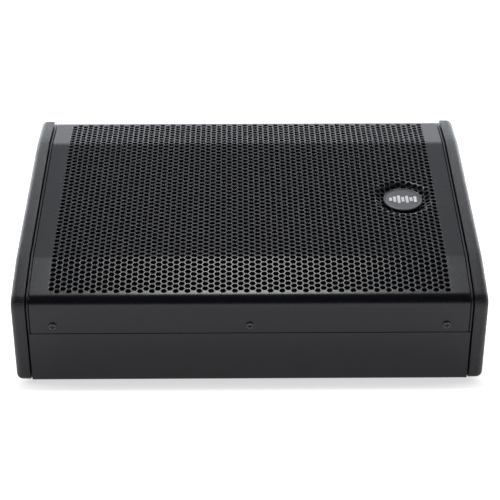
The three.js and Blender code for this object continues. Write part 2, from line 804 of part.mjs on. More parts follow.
function ampPlate() {
  const { width, height, z } = AMP;
  const plate = block([-width / 2, PANEL_BACK, z - height / 2], [width / 2, PANEL_FACE, z + height / 2]);
  const round = (radius, place) => onPanel(alongY(rod(radius, -10, 5)), place);
  const square = (halfWidth, halfHeight, place) =>
    onPanel(block([-halfWidth, -10, -halfHeight], [halfWidth, 5, halfHeight]), place);
  const spare = OPENING_SPARE;
  const barrel = SOCKET.barrel + spare;
  const button = BUTTON.half + spare;
  const rocker = ROCKER.box + spare;
  return cut(
    plate,
    round(barrel, FITTING.input),
    round(barrel, FITTING.link),
    round(barrel, FITTING.mains),
    onPanel(latchHole(spare), FITTING.input),
    round(KNOB.shaft + spare, FITTING.level),
    square(button, button, FITTING.lineButton),
    square(button, button, FITTING.filterButton),
    square(ROCKER.width / 2 + rocker, ROCKER.height / 2 + rocker, FITTING.rocker),
    square(LIGHTS.halfWidth + spare, LIGHTS.halfHeight + spare, FITTING.lights),
  );
}
add("amp_plate", ampPlate(), "aluminium");

// A slab with upright fins.
function heatSink() {
  const { low, high, halfHeight, base, fins, fin, height } = HEAT_SINK;
  const pitch = (high - low - fin) / (fins - 1);
  const slab = block([low, GAP, -halfHeight], [high, base, halfHeight]);
  const blades = Array.from({ length: fins }, (_, i) => {
    const x = low + pitch * i;
    return block([x, base / 2, -halfHeight], [x + fin, height, halfHeight]);
  });
  return onPanel(join(slab, ...blades), { x: 0, z: 0 });
}
add("heat_sink", heatSink(), "castMetal");

function ampTub() {
  const { width, height, depth, wall } = TUB;
  const face = PANEL_BACK - GAP;
  const shell = (grow, near) =>
    block(
      [-width / 2 + grow, face - depth + grow, AMP.z - height / 2 + grow],
      [width / 2 - grow, near, AMP.z + height / 2 - grow],
    );
  return cut(shell(0, face), shell(wall, face + 1));
}
add("amp_tub", ampTub(), "bareSteel");

// Main board on four posts behind the panel, clear of the fittings' barrels.
const BOARD = {
  width: 250,
  height: 84,
  thickness: 1.6,
  behind: 26,
  post: 3,
  postX: [-48, 110],
  postZ: [-36, 30],
};
function ampBoard() {
  const { width, height, thickness, behind, post, postX, postZ } = BOARD;
  const top = PANEL_BACK - behind;
  const sheet = block(
    [-width / 2, top - thickness, AMP.z - height / 2],
    [width / 2, top, AMP.z + height / 2],
  );
  const posts = postX.flatMap((x) =>
    postZ.map((z) => alongY(rod(post, top - 1, PANEL_BACK - GAP, 12)).translate([x, 0, AMP.z + z])),
  );
  return join(sheet, ...posts);
}
add("amp_board", ampBoard(), "circuitBoard");

function transformer() {
  const top = PANEL_BACK - BOARD.behind - BOARD.thickness - GAP;
  const core = block([50, top - 24, AMP.z - 22], [96, top, AMP.z + 22]);
  const bobbin = block([45, top - 19, AMP.z - 16], [101, top - 5, AMP.z + 16]);
  return join(core, bobbin);
}
add("supply_transformer", transformer(), "copper");

const inputSocket = cut(socket(null, 0), latchHole(0.4));
add("input_socket", onPanel(inputSocket, FITTING.input), "plastic");
const latchTab = () =>
  block(
    [-LATCH.width / 2, -LATCH.inside, LATCH.above],
    [LATCH.width / 2, LATCH.rise, LATCH.above + LATCH.height],
  );
add("input_latch", onPanel(latchTab(), FITTING.input), "bareSteel");
add("link_socket", onPanel(socket(contactPins(5, -6), 0), FITTING.link), "plastic");
const mainsCore = alongY(rod(4.5, -SOCKET.depth + 1, -5, 14));
add("mains_inlet", onPanel(socket(mainsCore, 2), FITTING.mains), "plastic");

// A flanged box, open to the outside, that holds the rocker.
function rockerFrame() {
  const { width, height, flange, rise, box, depth } = ROCKER;
  const shell = (grow, low, high) =>
    block([-width / 2 - grow, low, -height / 2 - grow], [width / 2 + grow, high, height / 2 + grow]);
  const outer = join(shell(flange, GAP, rise), shell(box, -depth, rise));
  return cut(outer, shell(GAP, box - depth, rise + 3));
}
add("rocker_frame", onPanel(rockerFrame(), FITTING.rocker), "plastic");

// The rocker's paddle: a shallow V seen from the side, tilted about its pivot at rest.
function rockerPaddle() {
  const { width, height, pivotDepth, tilt } = ROCKER;
  const halfWidth = width / 2 - 0.5;
  const half = height / 2 - 0.6;
  const tip = 2.6;
  const heel = { depth: pivotDepth + 3.5, half: 2.5 };
  const outline = [
    [-pivotDepth, -half],
    [tip, -half],
    [1, 0],
    [tip, half],
    [-pivotDepth, half],
    [-heel.depth, heel.half],
    [-heel.depth, -heel.half],
  ];
  return prism(outline, -halfWidth, halfWidth)
    .translate([0, pivotDepth, 0])
    .rotate([tilt, 0, 0])
    .translate([0, -pivotDepth, 0]);
}
add("power_rocker", onPanel(rockerPaddle(), FITTING.rocker), "plastic");

// A round knob on its shaft, with a raised pointer that starts straight up.
function levelKnob() {
  const { radius, rise, height, shaft, inside, pointer } = KNOB;
  const body = turned([
    [0, -inside],
    [shaft, -inside],
    [shaft, rise],
    [radius, rise],
    [radius - 1, height - 1],
    [radius - 2, height],
    [0, height],
  ]);
  const line = block([-pointer, 4, height - 1], [pointer, radius + 0.6, height + 0.6]);
  return alongY(join(body, line.rotate([0, 0, 180])));
}
add("level_knob", onPanel(levelKnob(), FITTING.level), "rubber");

for (const [name, place] of [
  ["line_button", FITTING.lineButton],
  ["filter_button", FITTING.filterButton],
]) {
  const { half, height, inside } = BUTTON;
  add(name, onPanel(block([-half, -inside, -half], [half, height, half]), place), "plastic");
}

// A light pipe with three domed windows.
function statusLights() {
  const { halfWidth, halfHeight, pitch, lens } = LIGHTS;
  const dome = alongY(turned([[0, -4], [lens, -4], [lens, 0.6], [lens - 0.5, 1.3], [0, 1.6]], 10));
  const bar = block(
    [GAP + 0.2 - halfWidth, -6, 0.4 - halfHeight],
    [halfWidth - GAP - 0.2, -2, halfHeight - 0.4],
  );
  return join(bar, ...[-pitch, 0, pitch].map((x) => dome.translate([x, 0, 0])));
}
add("status_lights", onPanel(statusLights(), FITTING.lights), "greenLens");

// Lead from the amplifier to the driver's terminal block. Each point is X, distance behind the
// amplifier's tub, and Z.
const LEAD = {
  radius: 3,
  route: [
    [-100, 1.5, 8],
    [-99, 16, 4],
    [-92, 40, 12],
    [-84, 62, 30],
    [-80, 72, 47],
  ],
};
function speakerLead() {
  const start = PANEL_BACK - TUB.depth;
  const points = LEAD.route.map(([x, behind, z]) => new THREE.Vector3(x, start - behind, z));
  const section = new THREE.Shape().absarc(0, 0, LEAD.radius, 0, 2 * Math.PI);
  const extrudePath = new THREE.CatmullRomCurve3(points);
  const options = { steps: 16, curveSegments: 4, bevelEnabled: false, extrudePath };
  return toSolid(new THREE.ExtrudeGeometry(section, options));
}
add("speaker_lead", speakerLead(), "rubber");

// ---------------------------------------------------------------- frame
// Centre of the footprint at the origin, feet on Z = 0.
const extent = new THREE.Box3().setFromObject(model);
const centre = extent.getCenter(new THREE.Vector3());
model.position.set(-centre.x, -centre.y, -extent.min.z);

export default model;
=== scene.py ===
# Looks of the stage monitor wedge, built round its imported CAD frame.
# Shapes are worked out in millimetres in the side-profile frame (Y to the rear and Z up from the
# virtual corner of lip and slope) and placed in the row frame in metres.
import json
import math

import bmesh
import bpy
import numpy as np
from mathutils import Matrix, Vector

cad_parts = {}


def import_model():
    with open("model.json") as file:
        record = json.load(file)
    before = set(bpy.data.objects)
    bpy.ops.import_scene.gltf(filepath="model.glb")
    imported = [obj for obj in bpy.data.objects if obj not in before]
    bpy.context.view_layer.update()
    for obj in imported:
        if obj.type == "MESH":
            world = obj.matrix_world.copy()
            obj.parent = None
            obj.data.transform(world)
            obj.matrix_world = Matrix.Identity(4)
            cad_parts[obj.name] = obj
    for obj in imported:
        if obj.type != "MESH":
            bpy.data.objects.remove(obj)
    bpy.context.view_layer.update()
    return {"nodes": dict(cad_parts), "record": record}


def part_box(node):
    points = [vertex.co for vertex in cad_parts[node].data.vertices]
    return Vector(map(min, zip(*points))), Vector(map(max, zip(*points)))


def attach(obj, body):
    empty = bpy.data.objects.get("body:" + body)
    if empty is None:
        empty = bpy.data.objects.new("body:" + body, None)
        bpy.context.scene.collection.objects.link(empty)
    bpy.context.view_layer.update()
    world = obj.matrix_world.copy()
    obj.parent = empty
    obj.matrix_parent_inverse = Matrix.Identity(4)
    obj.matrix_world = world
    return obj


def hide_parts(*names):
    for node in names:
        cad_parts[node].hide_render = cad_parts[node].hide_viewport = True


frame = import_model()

MM = 0.001
ROOT = "cabinet"
SIDES = (("left", -1), ("right", 1))

# ---------------------------------------------------------------- driving dimensions (mm, degrees)
LIP_LENGTH, LIP_LEAN = 99, 28.1
SLOPES = ((66, 38.7), (225, 30.0), (63, 21.8))  # length and angle of each facet of the grille
DEPTH, REAR_SLOPE = 405, 40
CORNER_FRONT, CORNER_TOP, CORNER_BACK, CORNER_FOOT = 11, 7, 8, 4

SHEET_THICKNESS, SHEET_HALF_WIDTH = 1.5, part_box("grille")[1].x / MM
SHEET_FLANGE = 39  # from the virtual lip corner down to the split line
BEND_RADIUS, FRONT_BEND_RADIUS = 20, 15  # the front bend of the CAD sheet is CORNER_FRONT
HOLE_FLATS, HOLE_PITCH, HOLE_ROUND = 5.1, 7, 0.6
FIRST_COLUMN, LAST_COLUMN = -34, 33
FIRST_ROW, LAST_ROW = -7, 87
PUNCHED_EDGE = 208.5  # X where the divided margin beside the holes ends
RUN_OF_CORNER = -40  # distance along the run at the virtual lip corner; a row of holes is at 0

DISH_X, DISH_ALONG, DISH_RIM, DISH_FLOOR, DISH_DEPTH = 170, 110, 33, 23.5, 4.5
BADGE_RADIUS, BADGE_THICKNESS = 21.5, 2.6
# The gap under the sheet's flange, and the depths of the dark strip of painted shade in it.
LIP_GAP, SHADE_STRIP_LOW, SHADE_STRIP_HIGH = 0.9, -1.7, -1.0
FOAM_HALF_WIDTH, FOAM_THICKNESS, FOAM_GAP = 206, 5, 0.3
FOAM_START, FOAM_END, FOAM_STEP, FOAM_COLUMNS = -31, 308, 3, 140

CAP_PROUD, CAP_BASE, CAP_EDGE = 3, 1.4, 6.8
CAP_SCREWS = ((62, 0), (300, 118), (370, -55))
CAP_SINK_RADIUS, CAP_SINK_DEPTH, CAP_SINK_EDGE, CAP_SHANK = 5.8, 4, 0.5, 3.3
WINDOW_Y, WINDOW_Z, WINDOW_WIDTH, WINDOW_HEIGHT, WINDOW_EDGE = 205, -20, 126, 42, 3.0
FOOT_DIMPLE_DEPTH = 1
GRILLE_SCREW_DOWN = 29.7
GRILLE_SCREW_X = (-202, 0, 202)


# ---------------------------------------------------------------- side profile
def heading(degrees):
    return np.array([math.cos(math.radians(degrees)), math.sin(math.radians(degrees))])


def left_of(direction):
    return np.array([-direction[1], direction[0]])


def side_vertices():
    lip_end = -LIP_LENGTH * heading(90 + LIP_LEAN)
    points = [lip_end, np.zeros(2)]
    for length, angle in SLOPES:
        points.append(points[-1] + length * heading(angle))
    top = points[-1]
    points.append(np.array([DEPTH, top[1] - (DEPTH - top[0]) * math.tan(math.radians(REAR_SLOPE))]))
    points.append(np.array([DEPTH, lip_end[1]]))
    return points


SIDE = side_vertices()
PANEL_LOW, PANEL_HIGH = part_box("side_panel_left")
SHIFT = np.array([0, PANEL_HIGH.y / MM - DEPTH, PANEL_LOW.z / MM - SIDE[0][1]])


def to_row(points):
    """Millimetres in the profile frame to metres in the row frame."""
    return (np.asarray(points, float).reshape(-1, 3) + SHIFT) * MM


def inset(points, distances):
    """Moves each edge of a closed clockwise outline inwards by its own distance."""
    count = len(points)
    lines = []
    for i, point in enumerate(points):
        direction = points[(i + 1) % count] - point
        direction = direction / np.linalg.norm(direction)
        lines.append((point - left_of(direction) * distances[i], direction))
    moved = []
    for i, (point, direction) in enumerate(lines):
        other, other_direction = lines[i - 1]
        matrix = np.array([other_direction, -direction]).T
        moved.append(other + other_direction * np.linalg.solve(matrix, point - other)[0])
    return moved


def arc_at(before, vertex, after, radius, steps):
    """The arc of a radius that replaces the corner at a vertex."""
    back = (before - vertex) / np.linalg.norm(before - vertex)
    ahead = (after - vertex) / np.linalg.norm(after - vertex)
    half = math.acos(np.clip(back @ ahead, -1, 1)) / 2
    bisector = (back + ahead) / np.linalg.norm(back + ahead)
    centre = vertex + bisector * radius / math.sin(half)
    start = vertex + back * radius / math.tan(half) - centre
    end = vertex + ahead * radius / math.tan(half) - centre
    first = math.atan2(start[1], start[0])
    sweep = math.atan2(end[1], end[0]) - first
    sweep -= 2 * math.pi * round(sweep / (2 * math.pi))
    angles = first + sweep * np.linspace(0, 1, steps + 1)
    return [centre + radius * np.array([math.cos(a), math.sin(a)]) for a in angles]


def rounded(points, radii, steps=12):
    count = len(points)
    outline = []
    for i, point in enumerate(points):
        if radii[i] > 0:
            outline += arc_at(points[i - 1], point, points[(i + 1) % count], radii[i], steps)
        else:
            outline.append(point)
    return outline


# ---------------------------------------------------------------- the grille's run
def run_layout():
    """Corners of the run with their distances along it, and the heading of each stretch."""
    corners = [SIDE[1], SIDE[2], SIDE[3], SIDE[4]]
    distances = [RUN_OF_CORNER]
    for length, _ in SLOPES:
        distances.append(distances[-1] + length)
    headings = [90 + LIP_LEAN, *(angle for _, angle in SLOPES), -REAR_SLOPE]
    return corners, distances, headings


RUN_CORNERS, RUN_DISTANCES, RUN_HEADINGS = run_layout()
RUN_RADII = (FRONT_BEND_RADIUS, BEND_RADIUS, BEND_RADIUS, CORNER_TOP)


def on_run(distance):
    """Points [y, z] of the outer face at distances along the run, and the directions out of it."""
    distance = np.asarray(distance, float)
    stretch = np.searchsorted(RUN_DISTANCES, distance)
    corner = np.clip(stretch - 1, 0, None)
    angles = np.radians(np.array(RUN_HEADINGS)[stretch])
    along = np.stack([np.cos(angles), np.sin(angles)], -1)
    reach = distance - np.array(RUN_DISTANCES)[corner]
    places = np.array(RUN_CORNERS)[corner] + along * reach[..., None]
    for i, radius in enumerate(RUN_RADII):
        turn = math.radians(RUN_HEADINGS[i] - RUN_HEADINGS[i + 1])
        tangent = radius * math.tan(turn / 2)
        part = (distance - RUN_DISTANCES[i] + tangent) / (2 * tangent)
        bent = (part > 0) & (part < 1)
        start = RUN_CORNERS[i] - tangent * heading(RUN_HEADINGS[i])
        centre = start - radius * left_of(heading(RUN_HEADINGS[i]))
        angle = math.radians(RUN_HEADINGS[i]) - turn * part
        out = np.stack([-np.sin(angle), np.cos(angle)], -1)
        places = np.where(bent[..., None], centre + radius * out, places)
        angles = np.where(bent, angle, angles)
    return places, np.stack([-np.sin(angles), np.cos(angles)], -1)


def on_sheet(x, distance, height):
    """Row-frame points at X, distance along the run and height over the outer face."""
    places, out = on_run(distance)
    flat = places + out * np.asarray(height, float)[..., None]
    return to_row(np.column_stack([x, flat[:, 0], flat[:, 1]]))


MIDDLE_TURN = Matrix.Rotation(math.radians(SLOPES[1][1]), 4, "X")


def middle_facet(x, along_slope):
    """Frame on the middle facet: X across, Y up the slope, Z out; in metres."""
    place = SIDE[2] + along_slope * heading(SLOPES[1][1])
    return Matrix.Translation(to_row([x, *place])[0]) @ MIDDLE_TURN


def on_lip(x, down):
    """Frame on the lip's face: X across, Z out; in metres."""
    place = -down * heading(90 + LIP_LEAN)
    turn = Matrix.Rotation(math.radians(90 + LIP_LEAN), 4, "X")
    return Matrix.Translation(to_row([x, *place])[0]) @ turn


# ---------------------------------------------------------------- mesh building
def mesh_object(name, points, faces, material, sharp=35, replaces=()):
    """A piece from points in metres and faces of any size."""
    mesh = bpy.data.meshes.new(name)
    mesh.from_pydata([tuple(p) for p in points], [], [tuple(int(i) for i in f) for f in faces])
    mesh.validate()
    return piece(name, mesh, material, ROOT, sharp, replaces)


def piece(name, mesh, material, body, sharp, replaces):
    """An object on a body, with the given material."""
    mesh.materials.clear()
    mesh.materials.append(material)
    mesh.shade_smooth()
    mesh.set_sharp_from_angle(angle=math.radians(sharp))
    obj = bpy.data.objects.new(name, mesh)
    bpy.context.scene.collection.objects.link(obj)
    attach(obj, body)
    if replaces:
        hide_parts(*replaces)
    return obj


class Build:
    """Collects closed shells of one piece: lathes, ring stacks and boxes, in millimetres."""

    def __init__(self):
        self.mesh = bmesh.new()

    def rings(self, rings, caps=(True, True), closed=False):
        """Joins successive rings of equal length by quads, and closes the first and last."""
        rows = [[self.mesh.verts.new(p) for p in ring] for ring in rings]
        pairs = list(zip(rows, rows[1:]))
        if closed:
            pairs.append((rows[-1], rows[0]))
        for low, high in pairs:
            for i in range(len(low)):
                j = (i + 1) % len(low)
                self.mesh.faces.new((low[i], low[j], high[j], high[i]))
        if caps[0] and not closed:
            self.mesh.faces.new(rows[0][::-1])
        if caps[1] and not closed:
            self.mesh.faces.new(rows[-1])
        return rows

    def lathe(self, profile, segments=48, matrix=None):
        """Turns a [radius, height] profile about Z; it starts and ends on the axis or closes."""
        start_on_axis = profile[0][0] == 0
        end_on_axis = profile[-1][0] == 0
        inner = [p for p in profile if p[0] > 0]
        turns = [2 * math.pi * k / segments for k in range(segments)]
        rings = [[(r * math.cos(t), r * math.sin(t), h) for t in turns] for r, h in inner]
        fresh = len(self.mesh.verts)
        rows = self.rings(rings, (False, False), closed=not start_on_axis)
        for on_axis, row, height, flip in (
            (start_on_axis, rows[0], profile[0][1], True),
            (end_on_axis, rows[-1], profile[-1][1], False),
        ):
            if on_axis:
                tip = self.mesh.verts.new((0, 0, height))
                for i in range(segments):
                    a, b = row[i], row[(i + 1) % segments]
                    self.mesh.faces.new((b, a, tip) if flip else (a, b, tip))
        if matrix is not None:
            self.mesh.verts.ensure_lookup_table()
            bmesh.ops.transform(self.mesh, matrix=matrix, verts=self.mesh.verts[fresh:])
        return self

    def box(self, low, high, bevel=0.0, matrix=None, segments=2):
        size = Vector(high) - Vector(low)
        place = Matrix.Translation((Vector(low) + Vector(high)) / 2) @ Matrix.Diagonal((*size, 1))
        if matrix is not None:
            place = matrix @ place
        made = bmesh.ops.create_cube(self.mesh, size=1, matrix=place)
        if bevel:
            edges = {edge for vert in made["verts"] for edge in vert.link_edges}
            bmesh.ops.bevel(
                self.mesh, geom=list(edges), offset=bevel, segments=segments, profile=0.5,
                affect="EDGES", clamp_overlap=True,
            )
        return self

    def fill(self, *loops):
        """A flat face with holes between closed loops of vertices."""
        edges = []
        for loop in loops:
            for i, vert in enumerate(loop):
                other = loop[(i + 1) % len(loop)]
                edge = self.mesh.edges.get((vert, other)) or self.mesh.edges.new((vert, other))
                edges.append(edge)
        bmesh.ops.triangle_fill(self.mesh, edges=edges, use_beauty=True)
        return self

    def finish(self, name, material, slot, matrix, body=ROOT, sharp=35, replaces=()):
        """Turns the shells into a piece; matrix takes millimetres to the row frame in metres."""
        bmesh.ops.recalc_face_normals(self.mesh, faces=self.mesh.faces)
        scale = Matrix.Scale(MM, 4)
        bmesh.ops.transform(self.mesh, matrix=matrix @ scale, verts=self.mesh.verts)
        mesh = bpy.data.meshes.new(name)
        self.mesh.to_mesh(mesh)
        self.mesh.free()
        return piece(name, mesh, material, body, sharp, replaces)


def refined(node, finish, bevel, sharp=30, seam=20, body=ROOT):
    """A copy of a CAD node with clean faces and softened edges, which stands for the node.
    Edges over sharp degrees are softened; those over seam degrees then split the shading."""
    mesh = frame["nodes"][node].data.copy()
    work = bmesh.new()
    work.from_mesh(mesh)
    bmesh.ops.remove_doubles(work, verts=work.verts, dist=1e-5)
    bmesh.ops.dissolve_limit(
        work, angle_limit=math.radians(1), verts=work.verts, edges=work.edges,
    )
    work.to_mesh(mesh)
    work.free()
    obj = piece(node + "_shell", mesh, MATERIAL[finish], body, sharp, (node,))
    if bevel:
        soften = obj.modifiers.new("soften", "BEVEL")
        soften.width = bevel * MM
        soften.segments = 2
        soften.limit_method = "ANGLE"
        soften.angle_limit = math.radians(sharp)
        soften.use_clamp_overlap = True
        soften.harden_normals = False
        apply_modifiers(obj)
        obj.data.shade_smooth()
        obj.data.set_sharp_from_angle(angle=math.radians(seam))


def apply_modifiers(obj):
    """Bakes the modifiers into a new mesh."""
    graph = bpy.context.evaluated_depsgraph_get()
    mesh = bpy.data.meshes.new_from_object(obj.evaluated_get(graph))
    obj.modifiers.clear()
    obj.data = mesh


# ---------------------------------------------------------------- materials
class Finish:
    """A principled material with procedural colour, roughness and bump."""

    def __init__(self, name, colour, roughness, metallic=0.0, specular=0.5):
        self.material = bpy.data.materials.new(name)
        self.material.use_nodes = True
        self.tree = self.material.node_tree
        self.shader = self.tree.nodes["Principled BSDF"]
        self.shader.inputs["Base Color"].default_value = (*colour, 1)
        self.shader.inputs["Roughness"].default_value = roughness
        self.shader.inputs["Metallic"].default_value = metallic
        self.shader.inputs["Specular IOR Level"].default_value = specular
        self.colour, self.roughness = colour, roughness
        self.bumps = None
        self.coordinates = self.node("ShaderNodeTexCoord").outputs["Object"]

    def node(self, kind, **settings):
        made = self.tree.nodes.new(kind)
        for key, value in settings.items():
            setattr(made, key, value)
        return made

    def link(self, source, target):
        self.tree.links.new(source, target)

    def noise(self, size, detail=2.0, roughness=0.5):
        """Noise whose features are about size millimetres across."""
        made = self.node("ShaderNodeTexNoise")
        made.inputs["Scale"].default_value = 1 / (size * MM)
        made.inputs["Detail"].default_value = detail
        made.inputs["Roughness"].default_value = roughness
        self.link(self.coordinates, made.inputs["Vector"])
        return made.outputs["Fac"]

    def grains(self, size, feature="SMOOTH_F1"):
        made = self.node("ShaderNodeTexVoronoi", feature=feature)
        made.inputs["Scale"].default_value = 1 / (size * MM)
        self.link(self.coordinates, made.inputs["Vector"])
        return made.outputs["Distance"]

    def ramp(self, value, low, high, start=0.0, end=1.0):
        """Maps a value between two levels to two others."""
        made = self.node("ShaderNodeMapRange")
        made.inputs["From Min"].default_value = start
        made.inputs["From Max"].default_value = end
        made.inputs["To Min"].default_value = low
        made.inputs["To Max"].default_value = high
        self.link(value, made.inputs["Value"])
        return made.outputs["Result"]

    def bump(self, value, height):
        """Adds relief of the given height in millimetres."""
        made = self.node("ShaderNodeBump")
        made.inputs["Distance"].default_value = height * MM
        made.inputs["Strength"].default_value = 1.0
        self.link(value, made.inputs["Height"])
        if self.bumps is not None:
            self.link(self.bumps, made.inputs["Normal"])
        self.bumps = made.outputs["Normal"]
        self.link(self.bumps, self.shader.inputs["Normal"])
        return self

    def vary_roughness(self, value, amount):
        """Spreads the roughness by an amount to each side."""
        low, high = self.roughness - amount, self.roughness + amount
        self.link(self.ramp(value, low, high, 0.3, 0.7), self.shader.inputs["Roughness"])
        return self

    def vary_colour(self, value, other, start=0.3, end=0.7):
        """Mixes in another colour where the value is high."""
        mix = self.node("ShaderNodeMix", data_type="RGBA")
        mix.inputs["A"].default_value = (*self.colour, 1)
        mix.inputs["B"].default_value = (*other, 1)
        self.link(self.ramp(value, 0, 1, start, end), mix.inputs["Factor"])
        self.link(mix.outputs["Result"], self.shader.inputs["Base Color"])
        return self


PAINT_SPECULAR = 0.38


def painted(name, colour, roughness, grain, relief, amount=0.05):
    """Paint or plastic with a fine grain of the given size and relief in millimetres."""
    finish = Finish(name, colour, roughness, specular=PAINT_SPECULAR)
    finish.vary_roughness(finish.noise(6, 3), amount)
    finish.vary_colour(finish.noise(12, 4), tuple(c * 1.3 for c in colour))
    finish.bump(finish.noise(grain, 3, 0.6), relief)
    return finish


def materials():
    made = {}
    cabinet = painted("cabinet_paint", (0.005, 0.0053, 0.0082), 0.40, 1.1, 0.06, 0.03)
    made["cabinet_paint"] = cabinet.bump(cabinet.grains(1.6), 0.06)
    cap = Finish("cap_plastic", (0.005, 0.005, 0.0062), 0.40, specular=0.32)
    cap.vary_roughness(cap.noise(5, 3), 0.05).vary_colour(cap.noise(9, 4), (0.009, 0.009, 0.0105))
    cap.bump(cap.noise(0.8, 3, 0.6), 0.14).bump(cap.grains(1.3), 0.45)
    made["cap_plastic"] = cap
    sheet = Finish("grille_steel", (0.003, 0.0031, 0.0056), 0.27, specular=PAINT_SPECULAR)
    sheet.vary_roughness(sheet.noise(30, 2), 0.006)
    sheet.vary_colour(sheet.noise(40, 2), (0.0033, 0.0034, 0.006)).bump(sheet.noise(0.6, 2), 0.0012)
    made["grille_steel"] = sheet
    foam = Finish("foam", (0.004, 0.004, 0.0045), 1.0, specular=0.1)
    foam.bump(foam.grains(0.8), 0.5).vary_colour(foam.noise(1.2), (0.009, 0.009, 0.01))
    made["foam"] = foam
    made["black_steel"] = painted("black_steel", (0.034, 0.034, 0.037), 0.34, 0.5, 0.01)
    badge = Finish("badge_metal", (0.1, 0.1, 0.106), 0.42, metallic=0.9)
    badge.vary_roughness(badge.noise(3, 3), 0.06)
    made["badge_metal"] = badge
    mark = Finish("badge_mark", (0.75, 0.75, 0.76), 0.3)
    mark.vary_roughness(mark.noise(2), 0.05)
    made["badge_mark"] = mark
    made["rubber"] = painted("rubber", (0.012, 0.012, 0.012), 0.75, 0.5, 0.03)
    made["black_plastic"] = painted("black_plastic", (0.014, 0.014, 0.015), 0.4, 0.4, 0.012)
    made["cast_metal"] = painted("cast_metal", (0.02, 0.02, 0.022), 0.45, 0.9, 0.05)
    for name, colour, roughness in (
        ("bare_steel", (0.45, 0.45, 0.46), 0.32),
        ("aluminium", (0.045, 0.045, 0.048), 0.36),
        ("copper", (0.5, 0.22, 0.1), 0.3),
    ):
        metal = Finish(name, colour, roughness, metallic=0.9)
        metal.vary_roughness(metal.noise(6, 4), 0.07).bump(metal.noise(0.6, 2), 0.006)
        metal.vary_colour(metal.noise(25, 4), tuple(c * 0.8 for c in colour))
        made[name] = metal
    made["cone_paper"] = painted("cone_paper", (0.016, 0.016, 0.018), 0.85, 1.4, 0.12)
    cloth = Finish("spider_cloth", (0.15, 0.09, 0.04), 0.9)
    weave = cloth.node("ShaderNodeTexChecker")
    weave.inputs["Scale"].default_value = 1 / (0.9 * MM)
    cloth.link(cloth.coordinates, weave.inputs["Vector"])
    cloth.bump(weave.outputs["Fac"], 0.08).vary_colour(cloth.noise(2), (0.2, 0.12, 0.06))
    made["spider_cloth"] = cloth
    board = Finish("circuit_board", (0.01, 0.07, 0.03), 0.3)
    board.vary_colour(board.grains(4, "F1"), (0.02, 0.13, 0.05), 0.2, 0.6)
    made["circuit_board"] = board
    lens = Finish("lens", (0.08, 0.4, 0.13), 0.15)
    lens.vary_roughness(lens.noise(1), 0.05)
    made["lens"] = lens
    made["legend_ink"] = painted("legend_ink", (0.55, 0.55, 0.56), 0.6, 0.5, 0.004)
    return {name: finish.material for name, finish in made.items()}


MATERIAL = materials()


# ---------------------------------------------------------------- perforated grille
COLUMN = HOLE_PITCH * math.cos(math.radians(30))
ROW = HOLE_PITCH / 2
CELL_RADIUS = HOLE_PITCH / math.sqrt(3)
HOLE_RADIUS = HOLE_FLATS / math.sqrt(3)
HALF_FLAT = CELL_RADIUS / 2  # a cell's corners lie at one and two of these from its centre
# Distances along the run where the plain sheet is divided, closer together at a bend.
LOW_LINES = (-79, -74, -66, -58, *np.arange(-53, -28.6, 1.4))
HIGH_LINES = (*np.arange(309.2, 318.9, 1.2), 322, 327, 332)
DISH_RUN = RUN_DISTANCES[1] + DISH_ALONG


def dish_height(x, distance):
    """Depth of the dished floor round the badge, with soft shoulders."""
    reach = np.hypot(np.asarray(x) - DISH_X, np.asarray(distance) - DISH_RUN)
    part = np.clip((DISH_RIM - reach) / (DISH_RIM - DISH_FLOOR), 0, 1)
    return -DISH_DEPTH * part * part * (3 - 2 * part)


def columns():
    """Each column of holes: its centre X and the distances of its lowest and highest hole."""
    for i in range(FIRST_COLUMN, LAST_COLUMN + 1):
        rows = [j for j in range(FIRST_ROW, LAST_ROW + 1) if (i + j) % 2 == 0]
        yield (i + 0.5) * COLUMN, rows[0] * ROW, rows[-1] * ROW


